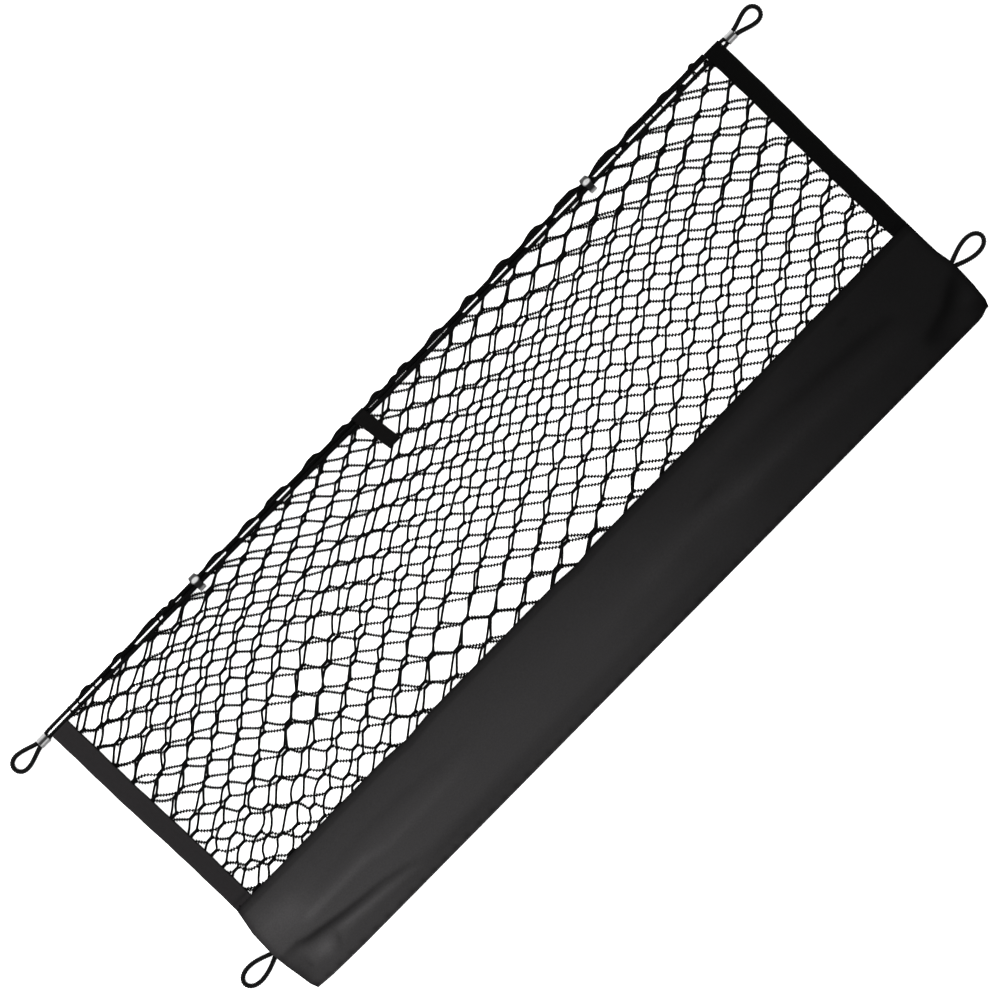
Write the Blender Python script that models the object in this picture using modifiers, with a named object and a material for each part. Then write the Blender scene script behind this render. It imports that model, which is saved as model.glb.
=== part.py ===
"""Cargo net: a wide flat pocket of two net layers above a folded cloth band.

The pocket lies face up on the floor. +X runs along its length, +Y towards the open top edge
and +Z up. The origin is under the middle of the whole outline, at floor level.
Sizes are in metres. Every layer of the pocket lies flat, one gap above the layer below.
"""

import math

import bmesh
import bpy
import numpy as np
from mathutils import Matrix

MM = 0.001

# Thicknesses, and the air between neighbouring layers
CLOTH_T = 1.2 * MM
NET_T = 2.0 * MM
GAP = 0.3 * MM
CORD_D = 3.0 * MM

# Heights of the layers above the floor
BACK_NET_Z = CLOTH_T + GAP
FRONT_NET_Z = BACK_NET_Z + NET_T + GAP
FRONT_CLOTH_Z = FRONT_NET_Z + NET_T + GAP
BACK_MID_Z = CLOTH_T / 2
FRONT_MID_Z = FRONT_CLOTH_Z + CLOTH_T / 2
STACK_MID_Z = (BACK_MID_Z + FRONT_MID_Z) / 2

# Side bindings: where each tape's outer fold and inner edge run, at its two ends
BINDINGS = (
    {"name": "binding_left", "side": -1, "low_y": -73.0, "high_y": 163.4,
     "outer_low": -445.4, "outer_high": -451.4, "inner_low": -425.5, "inner_high": -430.8},
    {"name": "binding_right", "side": 1, "low_y": -67.8, "high_y": 177.3,
     "outer_low": 452.1, "outer_high": 450.2, "inner_low": 433.7, "inner_high": 431.1},
)
BINDING_WAVE = 0.35 * MM
BINDING_STATIONS = 15

# Pocket cloth: its side edges, bottom fold and top edges, in millimetres
LEFT_EDGE = {"y": (-178.0, -171.0, -143.3, -125.5, -99.9, -74.0),
             "x": (-443.5, -446.2, -449.9, -451.4, -450.5, -445.2)}
RIGHT_EDGE = {"y": (-179.0, -171.0, -153.3, -125.5, -107.7, -70.0),
              "x": (450.0, 453.4, 455.2, 455.8, 452.9, 451.9)}
BOTTOM_FOLD = {"x": (-446.0, -429.6, -390.0, 452.0), "y": (-178.9, -180.4, -181.4, -181.4)}
TOP_EDGE = {"x": (-452.0, -250.0, -221.0, -190.0, -20.0, 5.0, 30.0, 452.0),
            "y": (-73.7, -72.4, -74.6, -72.0, -71.2, -73.0, -71.0, -68.4)}
REST_Z = 3.6 * MM  # the front flap's middle surface where nothing lies in the pocket
NET_TUCK = 12.0 * MM  # how far the nets reach into the pocket
NET_SLOPE = {"clear": 18.0 * MM, "run": 14.0 * MM}  # how the flap climbs onto the nets
FOLD_FADE = 14.0 * MM  # and how soon its folds start above the bottom edge
CLOTH_ENDS = (-447.0 * MM, 453.0 * MM)
FLAP_ROWS = (0.0, 0.07, 0.14, 0.21, 0.28, 0.35, 0.42, 0.49, 0.56, 0.63, 0.70, 0.77, 0.83,
             0.89, 0.93, 0.965, 1.0)
BACK_ROWS = (1.0, 0.5, 0.2, 0.0)
HEM_DEPTH = 8.0 * MM
HEM_PUFF = 0.5 * MM
FOLD_STEPS = 4

# Soft folds of the front flap, in millimetres: a line, its rise (a trough is below zero)
# and its half width
FOLDS = (
    {"from": (-449, -135), "to": (-411, -141), "rise": -1.0, "half": 5},
    {"from": (-411, -141), "to": (-362, -150), "rise": -1.3, "half": 5},
    {"from": (-362, -150), "to": (-293, -159), "rise": -0.9, "half": 6},
    {"from": (-394, -153), "to": (-299, -166), "rise": 0.9, "half": 6},
    {"from": (-400, -130), "to": (-268, -133), "rise": 0.9, "half": 8},
    {"from": (-268, -133), "to": (130, -120), "rise": 0.7, "half": 11},
    {"from": (-385, -114), "to": (-268, -110), "rise": -0.7, "half": 7},
    {"from": (-268, -110), "to": (-15, -109), "rise": -0.5, "half": 8},
    {"from": (-430, -112), "to": (-405, -112), "rise": 1.0, "half": 14},
    {"from": (-425, -157), "to": (-410, -157), "rise": 1.0, "half": 9},
    {"from": (-396, -165), "to": (-392, -156), "rise": -0.8, "half": 4},
    {"from": (443, -139), "to": (390, -164), "rise": -1.2, "half": 7},
)

# Net: the real mesh, and how many times its pitch the solid net is cut at
MESH_PITCH_X = 45.4 * MM
MESH_ROW_TOP = 10.7 * MM  # from one row of joints to the next, at the top edge
MESH_ROW_BOTTOM = 13.8 * MM
MESH_JOINT = 9.4 * MM
COARSER = 1.78
STRAND_W = 2.5 * MM
JOINT_W = 3.2 * MM
EDGE_STRAND_W = 2.6 * MM
NET_UNDER_TAPE = 3.0 * MM  # how far the gaps run on under the bindings
GAPS_LOW_Y = -78.0 * MM  # and under the front flap
NET_TOP_Y = 164.0 * MM
NET_HEIGHT = 236.0 * MM
NET_CUT_TOP_Y = 160.0 * MM  # where the nets' sides end
NET_CUT_IN = 5.0 * MM  # from a binding's fold to the nets' side edge
NET_SCATTER = 1.3 * MM
SMALLEST_GAP = 60.0 * MM * MM
SHORTEST_SIDE = 0.6 * MM
NETS = (
    {"name": "net_front", "z": FRONT_NET_Z, "shift_x": 10.0, "shift_y": 4.0, "seed": 3},
    {"name": "net_back", "z": BACK_NET_Z, "shift_x": -14.0, "shift_y": 12.0, "seed": 8},
)
# Height by which the rows of joints wander along the net, in millimetres
SWAY = {"x": (-450, -350, -270, -200, -50, 10, 100, 190, 280, 360, 450),
        "y": (-10.0, -3.5, 1.6, 1.0, -2.4, -2.4, 0.4, 4.5, 6.3, 5.2, 2.8)}
SWAY_LEAN = -0.045  # sideways drift of the columns for each unit of height
SWAY_MIDDLE_Y = 45.0 * MM

# Top elastic: the centre lines of its two runs, in millimetres, and its corner loops
RUNS = {"x": (-447.0, -253.0, 10.0, 268.0, 447.0),
        "upper": (170.6, 171.2, 169.4, 172.6, 173.9),
        "lower": (165.5, 166.7, 164.9, 167.6, 167.8)}
RUN_STEPS = 10
PAIR_HALF = 1.7 * MM  # half the distance between the runs where they lie side by side
CORNERS = (
    {"name": "crimp_left", "side": -1, "y": 167.0, "crimp": (454.4, 465.2), "tip": 500.0,
     "width": 19.0},
    {"name": "crimp_right", "side": 1, "y": 171.8, "crimp": (455.2, 465.4), "tip": 500.0,
     "width": 19.2},
)
CRIMP_Y = 10.3 * MM
CRIMP_Z = 6.4 * MM
CRIMP_LEG = 0.6 * MM  # straight stretch of both legs past each end of a crimp
LOOP_STEPS = 20
LOOP_TIP_Z = 1.62 * MM
# The right binding is folded round the elastic too, whose legs leave it through this slot
ELASTIC_SLOT = {"x": (444.0 * MM, 456.0 * MM), "y": (165.3 * MM, 176.1 * MM)}

# Bottom corner loops, sewn in between the flaps
BOTTOM_LOOPS = (
    {"name": "loop_left", "side": -1, "exit_x": 451.4, "tip": 491.4, "y": -127.7, "width": 20.6},
    {"name": "loop_right", "side": 1, "exit_x": 455.8, "tip": 495.5, "y": -126.4, "width": 20.7},
)
LOOP_SEWN_IN = 13.0 * MM
LOOP_ROOT_Z = CLOTH_T + GAP + CORD_D / 2
ROOT_BUMP = {"flat": 12.0 * MM, "out": 24.0 * MM, "longer": 1.35, "spare": 0.25 * MM}

# Bent metal clips over both runs, and the centre strap
CLIP_XS = {"clip_left": -253.2 * MM, "clip_right": 268.5 * MM}
CLIP = {"wide": 8.8 * MM, "narrow": 6.8 * MM, "low": 9.4 * MM, "high": 7.9 * MM,
        "wall": 0.8 * MM, "seam": 0.7 * MM, "taper": 4.0 * MM}
CLIP_STEPS = 6
CLIP_ROOM = {"beside": 0.5 * MM, "above": 2.3 * MM}  # cut from the nets below each clip
STRAP = {"wide": 14.7 * MM, "top_y": 173.2 * MM, "end_y": 127.4 * MM,
         "top_x": -36.1 * MM, "end_x": -30.1 * MM}

WEBBING_BLACK = (0.012, 0.012, 0.013, 1.0)
CLOTH_BLACK = (0.022, 0.022, 0.023, 1.0)
NET_BLACK = (0.010, 0.010, 0.010, 1.0)
SILVER = (0.70, 0.70, 0.71, 1.0)


def new_collection(name):
    made = bpy.data.collections.new(name)
    bpy.context.scene.collection.children.link(made)
    return made


def new_material(name, colour, roughness, metallic=0.0):
    made = bpy.data.materials.new(name)
    made.use_nodes = True
    shader = made.node_tree.nodes["Principled BSDF"]
    shader.inputs["Base Color"].default_value = colour
    shader.inputs["Roughness"].default_value = roughness
    shader.inputs["Metallic"].default_value = metallic
    made.diffuse_color = colour
    return made


def add_object(name, data, collection, material):
    made = bpy.data.objects.new(name, data)
    collection.objects.link(made)
    made.data.materials.append(material)
    return made


def line_at(low, high, share):
    """A value share of the way from low to high."""
    return low + (high - low) * share


def smooth_step(x):
    x = np.clip(x, 0.0, 1.0)
    return x * x * (3.0 - 2.0 * x)


def read_table(table, key, value, at):
    """Reads value at key from a table whose columns are in millimetres."""
    return np.interp(np.asarray(at) / MM, table[key], table[value]) * MM


# Sheets: a grid of points on the cloth's middle surface, thickened both ways


def sheet(name, grid, thickness, collection, material):
    rows, columns = grid.shape[:2]
    mesh = bpy.data.meshes.new(name)
    faces = [
        (r * columns + c, r * columns + c + 1, (r + 1) * columns + c + 1, (r + 1) * columns + c)
        for r in range(rows - 1)
        for c in range(columns - 1)
    ]
    mesh.from_pydata(grid.reshape(-1, 3).tolist(), [], faces)
    mesh.shade_smooth()
    made = add_object(name, mesh, collection, material)
    wall = made.modifiers.new("thickness", "SOLIDIFY")
    wall.thickness = thickness
    wall.offset = 0.0
    return made


def hairpin(open_end, fold_end, low_z, high_z, leg_points, fold_steps):
    """Section of a tape folded in half: (across, height) from the lower leg's open end,
    round the fold that touches fold_end, and back to the upper leg's open end."""
    radius = (high_z - low_z) / 2
    outward = 1.0 if fold_end > open_end else -1.0
    centre = fold_end - outward * (radius + CLOTH_T / 2)
    leg = [line_at(open_end, centre, i / leg_points) for i in range(leg_points)]
    lower = [(across, low_z) for across in leg]
    turn = [
        (centre + outward * radius * math.sin(a), (low_z + high_z) / 2 - radius * math.cos(a))
        for a in (math.pi * i / fold_steps for i in range(fold_steps + 1))
    ]
    upper = [(across, high_z) for across in reversed(leg)]
    return lower + turn + upper


def binding_edges(binding, y):
    """The x of the outer fold and of the inner edge of a binding at height y."""
    share = (y / MM - binding["low_y"]) / (binding["high_y"] - binding["low_y"])
    outer = line_at(binding["outer_low"], binding["outer_high"], share) * MM
    inner = line_at(binding["inner_low"], binding["inner_high"], share) * MM
    return outer, inner


def make_binding(binding, collection, material):
    columns = []
    for i in range(BINDING_STATIONS):
        share = i / (BINDING_STATIONS - 1)
        y = line_at(binding["low_y"], binding["high_y"], share) * MM
        outer, inner = binding_edges(binding, y)
        wave = BINDING_WAVE * math.sin(9.0 * share + binding["side"])
        section = hairpin(inner + wave, outer + wave, BACK_MID_Z, FRONT_MID_Z, 2, 6)
        columns.append([(x, y, z) for x, z in section])
    grid = np.array(columns)
    if binding["side"] > 0:
        grid = grid[::-1]
    return sheet(binding["name"], grid, CLOTH_T, collection, material)


def make_strap(collection, material):
    section = hairpin(STRAP["end_y"], STRAP["top_y"], BACK_MID_Z, FRONT_MID_Z, 4, 6)
    columns = []
    for across in (-0.5, 0.0, 0.5):
        column = []
        for y, z in section:
            share = (y - STRAP["end_y"]) / (STRAP["top_y"] - STRAP["end_y"])
            x = line_at(STRAP["end_x"], STRAP["top_x"], share)
            column.append((x + across * STRAP["wide"], y, z))
        columns.append(column)
    return sheet("centre_strap", np.array(columns), CLOTH_T, collection, material)


# Pocket cloth


def folds_rise(x, y):
    """Sum of the soft folds: each is a bell across its line that fades past its ends."""
    total = np.zeros_like(x)
    for fold in FOLDS:
        start, end = (np.array(fold[k], float) * MM for k in ("from", "to"))
        along = end - start
        length = math.hypot(*along)
        share = ((x - start[0]) * along[0] + (y - start[1]) * along[1]) / length**2
        share = np.clip(share, 0.0, 1.0)
        away = np.hypot(x - start[0] - share * along[0], y - start[1] - share * along[1])
        total += fold["rise"] * MM * np.exp(-((away / (fold["half"] * MM)) ** 2))
    return total


def flap_height(x, y, bottom, top):
    """Middle surface of the front flap: low over the empty pocket, up over the nets' lower
    ends and over the sewn roots of the corner loops, with a hem along the top edge."""
    over_nets = smooth_step((y - top + NET_TUCK + NET_SLOPE["clear"]) / NET_SLOPE["run"])
    z = line_at(REST_Z, FRONT_MID_Z, over_nets)
    z += folds_rise(x, y) * (1.0 - over_nets) * smooth_step((y - bottom) / FOLD_FADE)
    lifted = LOOP_ROOT_Z + CORD_D / 2 + GAP + CLOTH_T / 2 + ROOT_BUMP["spare"]
    for loop in BOTTOM_LOOPS:
        root_x = loop["side"] * (loop["exit_x"] * MM - LOOP_SEWN_IN / 2)
        away = np.hypot((x - root_x) / ROOT_BUMP["longer"], y - loop["y"] * MM)
        lift = smooth_step((ROOT_BUMP["out"] - away) / (ROOT_BUMP["out"] - ROOT_BUMP["flat"]))
        z = np.maximum(z, line_at(z, lifted, lift))
    hem = np.clip((y - top + HEM_DEPTH) / HEM_DEPTH, 0.0, 1.0)
    return z + HEM_PUFF * np.sin(math.pi * hem)


def cloth_columns():
    """Places of the columns along the cloth, closer together where the folds are."""
    left = np.linspace(0.0, 0.19, 17)
    middle = np.linspace(0.19, 0.90, 15)[1:]
    right = np.linspace(0.90, 1.0, 8)[1:]
    return np.concatenate([left, middle, right])


def make_cloth(collection, material):
    columns = []
    for share in cloth_columns():
        x_guess = line_at(*CLOTH_ENDS, share)
        bottom = float(read_table(BOTTOM_FOLD, "x", "y", x_guess))
        top = float(read_table(TOP_EDGE, "x", "y", x_guess))
        radius = (REST_Z - BACK_MID_Z) / 2
        centre = bottom + CLOTH_T / 2 + radius

        def place_x(y):
            low = read_table(LEFT_EDGE, "y", "x", y)
            high = read_table(RIGHT_EDGE, "y", "x", y)
            return line_at(low, high, share)

        back_y = line_at(centre, top, np.array(BACK_ROWS))
        turn = np.pi * np.arange(1, FOLD_STEPS) / FOLD_STEPS
        turn_y = centre - radius * np.sin(turn)
        front_y = line_at(centre, top, np.array(FLAP_ROWS))
        y = np.concatenate([back_y, turn_y, front_y])
        x = place_x(y)
        front_z = flap_height(x[-len(front_y):], front_y, centre, top)
        turn_z = (BACK_MID_Z + REST_Z) / 2 - radius * np.cos(turn)
        z = np.concatenate([np.full(len(back_y), BACK_MID_Z), turn_z, front_z])
        columns.append(np.stack([x, y, z], axis=1))
    return sheet("pocket_cloth", np.array(columns)[::-1], CLOTH_T, collection, material)


# Nets: a flat sheet with its hexagon gaps cut through


def joint_centre(column, row, net, scatter):
    """Where a joint lies. Rows are counted down from the top edge, odd ones half a pitch on."""
    rows_in_all = NET_HEIGHT / ((MESH_ROW_TOP + MESH_ROW_BOTTOM) / 2 * COARSER)
    growth = (MESH_ROW_BOTTOM - MESH_ROW_TOP) * COARSER / (2.0 * rows_in_all)
    x = (column + 0.5 * (row % 2)) * MESH_PITCH_X * COARSER + net["shift_x"] * MM
    y = NET_TOP_Y + net["shift_y"] * MM - MESH_ROW_TOP * COARSER * row - growth * row**2
    x += SWAY_LEAN * (y - SWAY_MIDDLE_Y)
    y += float(read_table(SWAY, "x", "y", x))
    stray = scatter[row % len(scatter), column % len(scatter)]
    return np.array([x + stray[0], y + stray[1]])


def inset(corners, widths):
    """Moves each side of a clockwise polygon inwards by its own half width."""
    count = len(corners)
    lines = []
    for i in range(count):
        a, b = corners[i], corners[(i + 1) % count]
        along = (b - a) / np.linalg.norm(b - a)
        inward = np.array([along[1], -along[0]])
        lines.append((a + inward * widths[i] / 2, along))
    moved = []
    for i in range(count):
        (p, d), (q, e) = lines[i - 1], lines[i]
        cross = d[0] * e[1] - d[1] * e[0]
        t = ((q[0] - p[0]) * e[1] - (q[1] - p[1]) * e[0]) / cross
        moved.append(p + d * t)
    return moved


def keep_inside(corners, point, inward):
    """The part of a polygon on the inward side of a line through point."""
    kept = []
    for i, here in enumerate(corners):
        before = corners[i - 1]
        a, b = np.dot(before - point, inward), np.dot(here - point, inward)
        if (a < 0) != (b < 0):
            kept.append(before + (here - before) * a / (a - b))
        if b >= 0:
            kept.append(here)
    return kept


def without_short_sides(corners):
    return [here for before, here in zip([corners[-1], *corners], corners)
            if np.linalg.norm(here - before) > SHORTEST_SIDE]


def area(corners):
    x, y = np.array(corners).T
    return abs(np.dot(x, np.roll(y, 1)) - np.dot(y, np.roll(x, 1))) / 2


def net_top(x):
    """The nets' top edge runs just under the elastic's lower run."""
    return read_table(RUNS, "x", "lower", x) - CORD_D / 2 - GAP


def line_inwards(start, end):
    """A point on the line from start to end, and the direction to its right."""
    along = (end - start) / np.linalg.norm(end - start)
    return start, np.array([along[1], -along[0]])


def net_sides(x):
    """For each edge of the gaps' field, near x: a point on it and the direction inwards."""
    sides = []
    for binding in BINDINGS:
        ends = []
        for y in (binding["low_y"] * MM, binding["high_y"] * MM):
            inner = binding_edges(binding, y)[1]
            ends.append(np.array([inner + binding["side"] * NET_UNDER_TAPE, y]))
        sides.append(line_inwards(*(ends if binding["side"] < 0 else ends[::-1])))
    reach = 20.0 * MM
    sides.append(line_inwards(*(
        np.array([end, net_top(end) - EDGE_STRAND_W]) for end in (x - reach, x + reach))))
    sides.append((np.array([0.0, GAPS_LOW_Y]), np.array([0.0, 1.0])))
    return sides


def net_gaps(net):
    scatter = np.random.default_rng(net["seed"]).uniform(-NET_SCATTER, NET_SCATTER, (24, 24, 2))
    half_joint = np.array([MESH_JOINT * COARSER / 2, 0.0])
    gaps = []
    for row in range(-3, 17):
        for column in range(-8, 8):
            aside = column if row % 2 else column - 1
            top = joint_centre(column, row, net, scatter)
            bottom = joint_centre(column, row + 2, net, scatter)
            left = joint_centre(aside, row + 1, net, scatter)
            right = joint_centre(aside + 1, row + 1, net, scatter)
            corners = [top - half_joint, top + half_joint, right - half_joint,
                       bottom + half_joint, bottom - half_joint, left + half_joint]
            widths = (JOINT_W, STRAND_W, STRAND_W, JOINT_W, STRAND_W, STRAND_W)
            gap = inset(corners, widths)
            for point, inward in net_sides(top[0]):
                gap = keep_inside(gap, point, inward) if gap else gap
            gap = without_short_sides(gap) if gap else gap
            if len(gap) > 2 and area(gap) > SMALLEST_GAP:
                gaps.append(gap)
    return gaps


def net_outline():
    """The net's cut edge, well inside the bindings' folds and the pocket."""
    low_y = float(read_table(TOP_EDGE, "x", "y", 0.0)) - NET_TUCK
    (left_low, left_high), (right_low, right_high) = (
        [binding_edges(binding, y)[0] - binding["side"] * NET_CUT_IN
         for y in (low_y, NET_CUT_TOP_Y)]
        for binding in BINDINGS
    )
    top_xs = [right_high, *(x * MM for x in RUNS["x"][-2:0:-1]), left_high]
    return [(left_low, low_y), (right_low, low_y), *((x, float(net_top(x))) for x in top_xs)]


def flat_curve(name, outlines, depth):
    """A flat outline, with its holes if any, given its thickness."""
    curve = bpy.data.curves.new(name, "CURVE")
    curve.dimensions = "2D"
    curve.fill_mode = "BOTH"
    curve.extrude = depth / 2
    for outline in outlines:
        spline = curve.splines.new("POLY")
        spline.points.add(len(outline) - 1)
        for point, (x, y) in zip(spline.points, outline):
            point.co = (x, y, 0.0, 1.0)
        spline.use_cyclic_u = True
    return curve


def prisms(name, outlines, low_z, high_z):
    """A mesh of upright prisms, one on each outline."""
    work = bmesh.new()
    for outline in outlines:
        base = work.faces.new([work.verts.new((x, y, low_z)) for x, y in outline])
        raised = bmesh.ops.extrude_face_region(work, geom=[base])["geom"]
        corners = [v for v in raised if isinstance(v, bmesh.types.BMVert)]
        bmesh.ops.translate(work, verts=corners, vec=(0.0, 0.0, high_z - low_z))
    bmesh.ops.recalc_face_normals(work, faces=work.faces)
    mesh = bpy.data.meshes.new(name)
    work.to_mesh(mesh)
    work.free()
    return mesh


def make_net(net, clip_cutters, cutters, collection, material):
    top = net["z"] + NET_T
    made = add_object(
        net["name"], prisms(net["name"], [net_outline()], net["z"], top), collection, material)
    gaps = prisms("gaps", net_gaps(net), net["z"] - MM, top + MM)
    cutter = add_cutter("gaps_of_" + net["name"], gaps, cutters)
    for shape in (cutter, *clip_cutters):
        cut_away(made, shape)
    return made


# Cutters


def add_cutter(name, mesh, cutters):
    made = bpy.data.objects.new(name, mesh)
    cutters.objects.link(made)
    made.hide_render = True
    made.display_type = "WIRE"
    return made


def box_cutter(name, low, high, cutters):
    mesh = bpy.data.meshes.new(name)
    work = bmesh.new()
    size = Matrix.Diagonal((*(high - low), 1.0))
    bmesh.ops.create_cube(work, size=1.0, matrix=Matrix.Translation((high + low) / 2) @ size)
    work.to_mesh(mesh)
    work.free()
    return add_cutter(name, mesh, cutters)


def cut_away(target, cutter):
    cut = target.modifiers.new("cut " + cutter.name, "BOOLEAN")
    cut.operation = "DIFFERENCE"
    cut.object = cutter


# Elastic


def tube(name, points, closed, collection, material):
    curve = bpy.data.curves.new(name, "CURVE")
    curve.dimensions = "3D"
    curve.bevel_depth = CORD_D / 2
    curve.bevel_resolution = 2
    curve.use_fill_caps = True
    spline = curve.splines.new("POLY")
    spline.points.add(len(points) - 1)
    for point, place in zip(spline.points, points):
        point.co = (*place, 1.0)
    spline.use_cyclic_u = closed
    return add_object(name, curve, collection, material)


def drop_loop(side, exit_x, tip_x, y, width, root_z):
    """A drop-shaped loop from its upper leg round the tip to its lower leg. The legs leave
    side by side, part like sin(t) sin(t/2), and sink to lie on the floor at the tip."""
    reach = (tip_x - CORD_D / 2) - exit_x
    widest = 2.0 * math.atan(math.sqrt(2.0))  # where sin(t) sin(t/2) is at its most
    belly = (width - CORD_D) / 2 - PAIR_HALF * math.cos(widest / 2)
    belly /= math.sin(widest) * math.sin(widest / 2)
    points = []
    for i in range(LOOP_STEPS + 1):
        t = 2.0 * math.pi * i / LOOP_STEPS
        out = (1.0 - math.cos(t)) / 2
        across = PAIR_HALF * math.cos(t / 2) + belly * math.sin(t) * math.sin(t / 2)
        z = line_at(root_z, LOOP_TIP_Z, float(smooth_step(out)))
        points.append((side * (exit_x + reach * out), y + across, z))
    return points


def run_points(run):
    """One run of the elastic along the top edge, left to right."""
    xs = np.linspace(RUNS["x"][0], RUNS["x"][-1], RUN_STEPS + 1) * MM
    return [(x, y, STACK_MID_Z) for x, y in zip(xs, read_table(RUNS, "x", run, xs))]


def corner_loop(corner):
    """A top corner loop with the straight legs that pass through its crimp."""
    near, far = (edge * MM for edge in corner["crimp"])
    y = corner["y"] * MM
    loop = drop_loop(corner["side"], far + CRIMP_LEG, corner["tip"] * MM, y,
                     corner["width"] * MM, STACK_MID_Z)
    upper, lower = (
        (corner["side"] * (near - CRIMP_LEG), y + PAIR_HALF * s, STACK_MID_Z) for s in (1, -1)
    )
    return [upper, *loop, lower]


def make_top_elastic(collection, material):
    left, right = (corner_loop(corner) for corner in CORNERS)
    route = left + run_points("lower") + right[::-1] + run_points("upper")[::-1]
    return tube("top_elastic", route, True, collection, material)


def make_bottom_loop(loop, collection, material):
    exit_x, y = loop["exit_x"] * MM, loop["y"] * MM
    points = drop_loop(loop["side"], exit_x, loop["tip"] * MM, y, loop["width"] * MM, LOOP_ROOT_Z)
    root_x = loop["side"] * (exit_x - LOOP_SEWN_IN)
    upper, lower = ((root_x, y + PAIR_HALF * s, LOOP_ROOT_Z) for s in (1, -1))
    return tube(loop["name"], [upper, *points, lower], False, collection, material)


# Metal


def rounded_bar(width, height, steps=6):
    """Outline of a bar with half-round ends, width along its first axis."""
    radius = height / 2
    points = []
    for end, start in ((1, -0.5), (-1, 0.5)):
        for i in range(steps + 1):
            a = math.pi * (start + i / steps)
            points.append((end * (width / 2 - radius) + radius * math.cos(a),
                           radius * math.sin(a)))
    return points


def make_crimp(corner, collection, material):
    """A pressed sleeve round both legs of a top corner loop."""
    near, far = (edge * MM for edge in corner["crimp"])
    bore_y = 2 * PAIR_HALF + CORD_D + 2 * GAP
    bore_z = CORD_D + 2 * GAP
    outlines = [rounded_bar(CRIMP_Y, CRIMP_Z), rounded_bar(bore_y, bore_z)]
    curve = flat_curve(corner["name"], outlines, far - near)
    made = add_object(corner["name"], curve, collection, material)
    made.rotation_euler = (math.pi / 2, 0.0, math.pi / 2)
    made.location = (corner["side"] * (near + far) / 2, corner["y"] * MM, STACK_MID_Z)
    return made


def runs_middle(x):
    """The y half way between the elastic's two runs."""
    return float(sum(read_table(RUNS, "x", run, x) for run in ("upper", "lower"))) / 2


def make_clip(name, x, collection, material):
    """A bent metal band round both runs: its seam is underneath, at its lower end."""
    middle = runs_middle(x)
    low, high = middle - CLIP["low"] + CLIP["wall"] / 2, middle + CLIP["high"] - CLIP["wall"] / 2
    radius = (FRONT_MID_Z - BACK_MID_Z) / 2
    turns = [math.pi * i / CLIP_STEPS for i in range(CLIP_STEPS + 1)]
    section = [(low + radius + CLIP["seam"], BACK_MID_Z), (middle, BACK_MID_Z)]
    section += [(high - radius + radius * math.sin(a), STACK_MID_Z - radius * math.cos(a))
                for a in turns]
    section += [(middle, FRONT_MID_Z)]
    section += [(low + radius - radius * math.sin(a), STACK_MID_Z + radius * math.cos(a))
                for a in turns]
    columns = []
    for across in (-0.5, 0.0, 0.5):
        column = []
        for y, z in section:
            share = float(smooth_step((y - middle) / CLIP["taper"] + 0.5))
            width = line_at(CLIP["narrow"], CLIP["wide"], share)
            column.append((x + across * width, y, z))
        columns.append(column)
    return sheet(name, np.array(columns), CLIP["wall"], collection, material)


def clear_scene():
    for old in list(bpy.data.objects):
        bpy.data.objects.remove(old)


def main():
    clear_scene()
    parts = new_collection("cargo_net")
    cutters = new_collection("cutters")
    net_yarn = new_material("net yarn", NET_BLACK, 0.75)
    cloth = new_material("pocket cloth", CLOTH_BLACK, 0.55)
    tape = new_material("binding tape", WEBBING_BLACK, 0.8)
    elastic = new_material("braided elastic", NET_BLACK, 0.7)
    steel = new_material("plated steel", SILVER, 0.25, metallic=1.0)

    clip_cutters = []
    for name, x in CLIP_XS.items():
        end_y = runs_middle(x) - CLIP["low"]
        reach = CLIP["wide"] / 2 + CLIP_ROOM["beside"]
        low = np.array([x - reach, end_y - CLIP_ROOM["beside"], 0.0])
        high = np.array([x + reach, end_y + CLIP_ROOM["above"], FRONT_MID_Z])
        clip_cutters.append(box_cutter("room_" + name, low, high, cutters))
    for net in NETS:
        make_net(net, clip_cutters, cutters, parts, net_yarn)
    make_cloth(parts, cloth)
    for binding in BINDINGS:
        made = make_binding(binding, parts, tape)
        if binding["side"] > 0:
            low, high = (
                np.array([x, y, z]) for x, y, z in zip(
                    ELASTIC_SLOT["x"], ELASTIC_SLOT["y"], (CLOTH_T + GAP, FRONT_CLOTH_Z - GAP)))
            cut_away(made, box_cutter("elastic_slot", low, high, cutters))
    make_strap(parts, tape)
    make_top_elastic(parts, elastic)
    for loop in BOTTOM_LOOPS:
        make_bottom_loop(loop, parts, elastic)
    for corner in CORNERS:
        make_crimp(corner, parts, steel)
    for name, x in CLIP_XS.items():
        make_clip(name, x, parts, steel)


main()
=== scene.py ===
import math

import bpy
import numpy as np
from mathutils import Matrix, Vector


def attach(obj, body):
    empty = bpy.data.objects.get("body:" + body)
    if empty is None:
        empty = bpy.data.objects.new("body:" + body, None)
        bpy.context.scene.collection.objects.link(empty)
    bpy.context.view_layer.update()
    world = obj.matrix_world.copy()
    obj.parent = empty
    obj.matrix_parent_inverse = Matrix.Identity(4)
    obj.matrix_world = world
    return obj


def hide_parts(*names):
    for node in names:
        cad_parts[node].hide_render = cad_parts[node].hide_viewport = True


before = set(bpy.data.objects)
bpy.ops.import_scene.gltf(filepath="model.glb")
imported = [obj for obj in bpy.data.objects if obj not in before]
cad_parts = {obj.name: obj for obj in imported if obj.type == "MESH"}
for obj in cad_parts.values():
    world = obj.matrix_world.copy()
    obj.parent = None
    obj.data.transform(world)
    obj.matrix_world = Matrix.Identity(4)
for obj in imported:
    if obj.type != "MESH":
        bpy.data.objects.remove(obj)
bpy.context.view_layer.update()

mm = 0.001
fullTurn = 2.0 * math.pi

# Heights of the layers above the floor, as in the solids: cloth, net, net, cloth, with gaps
layerZ = {"backCloth": 0.6, "backNet": 2.5, "frontNet": 4.8, "frontCloth": 6.7, "middle": 3.65}

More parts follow.
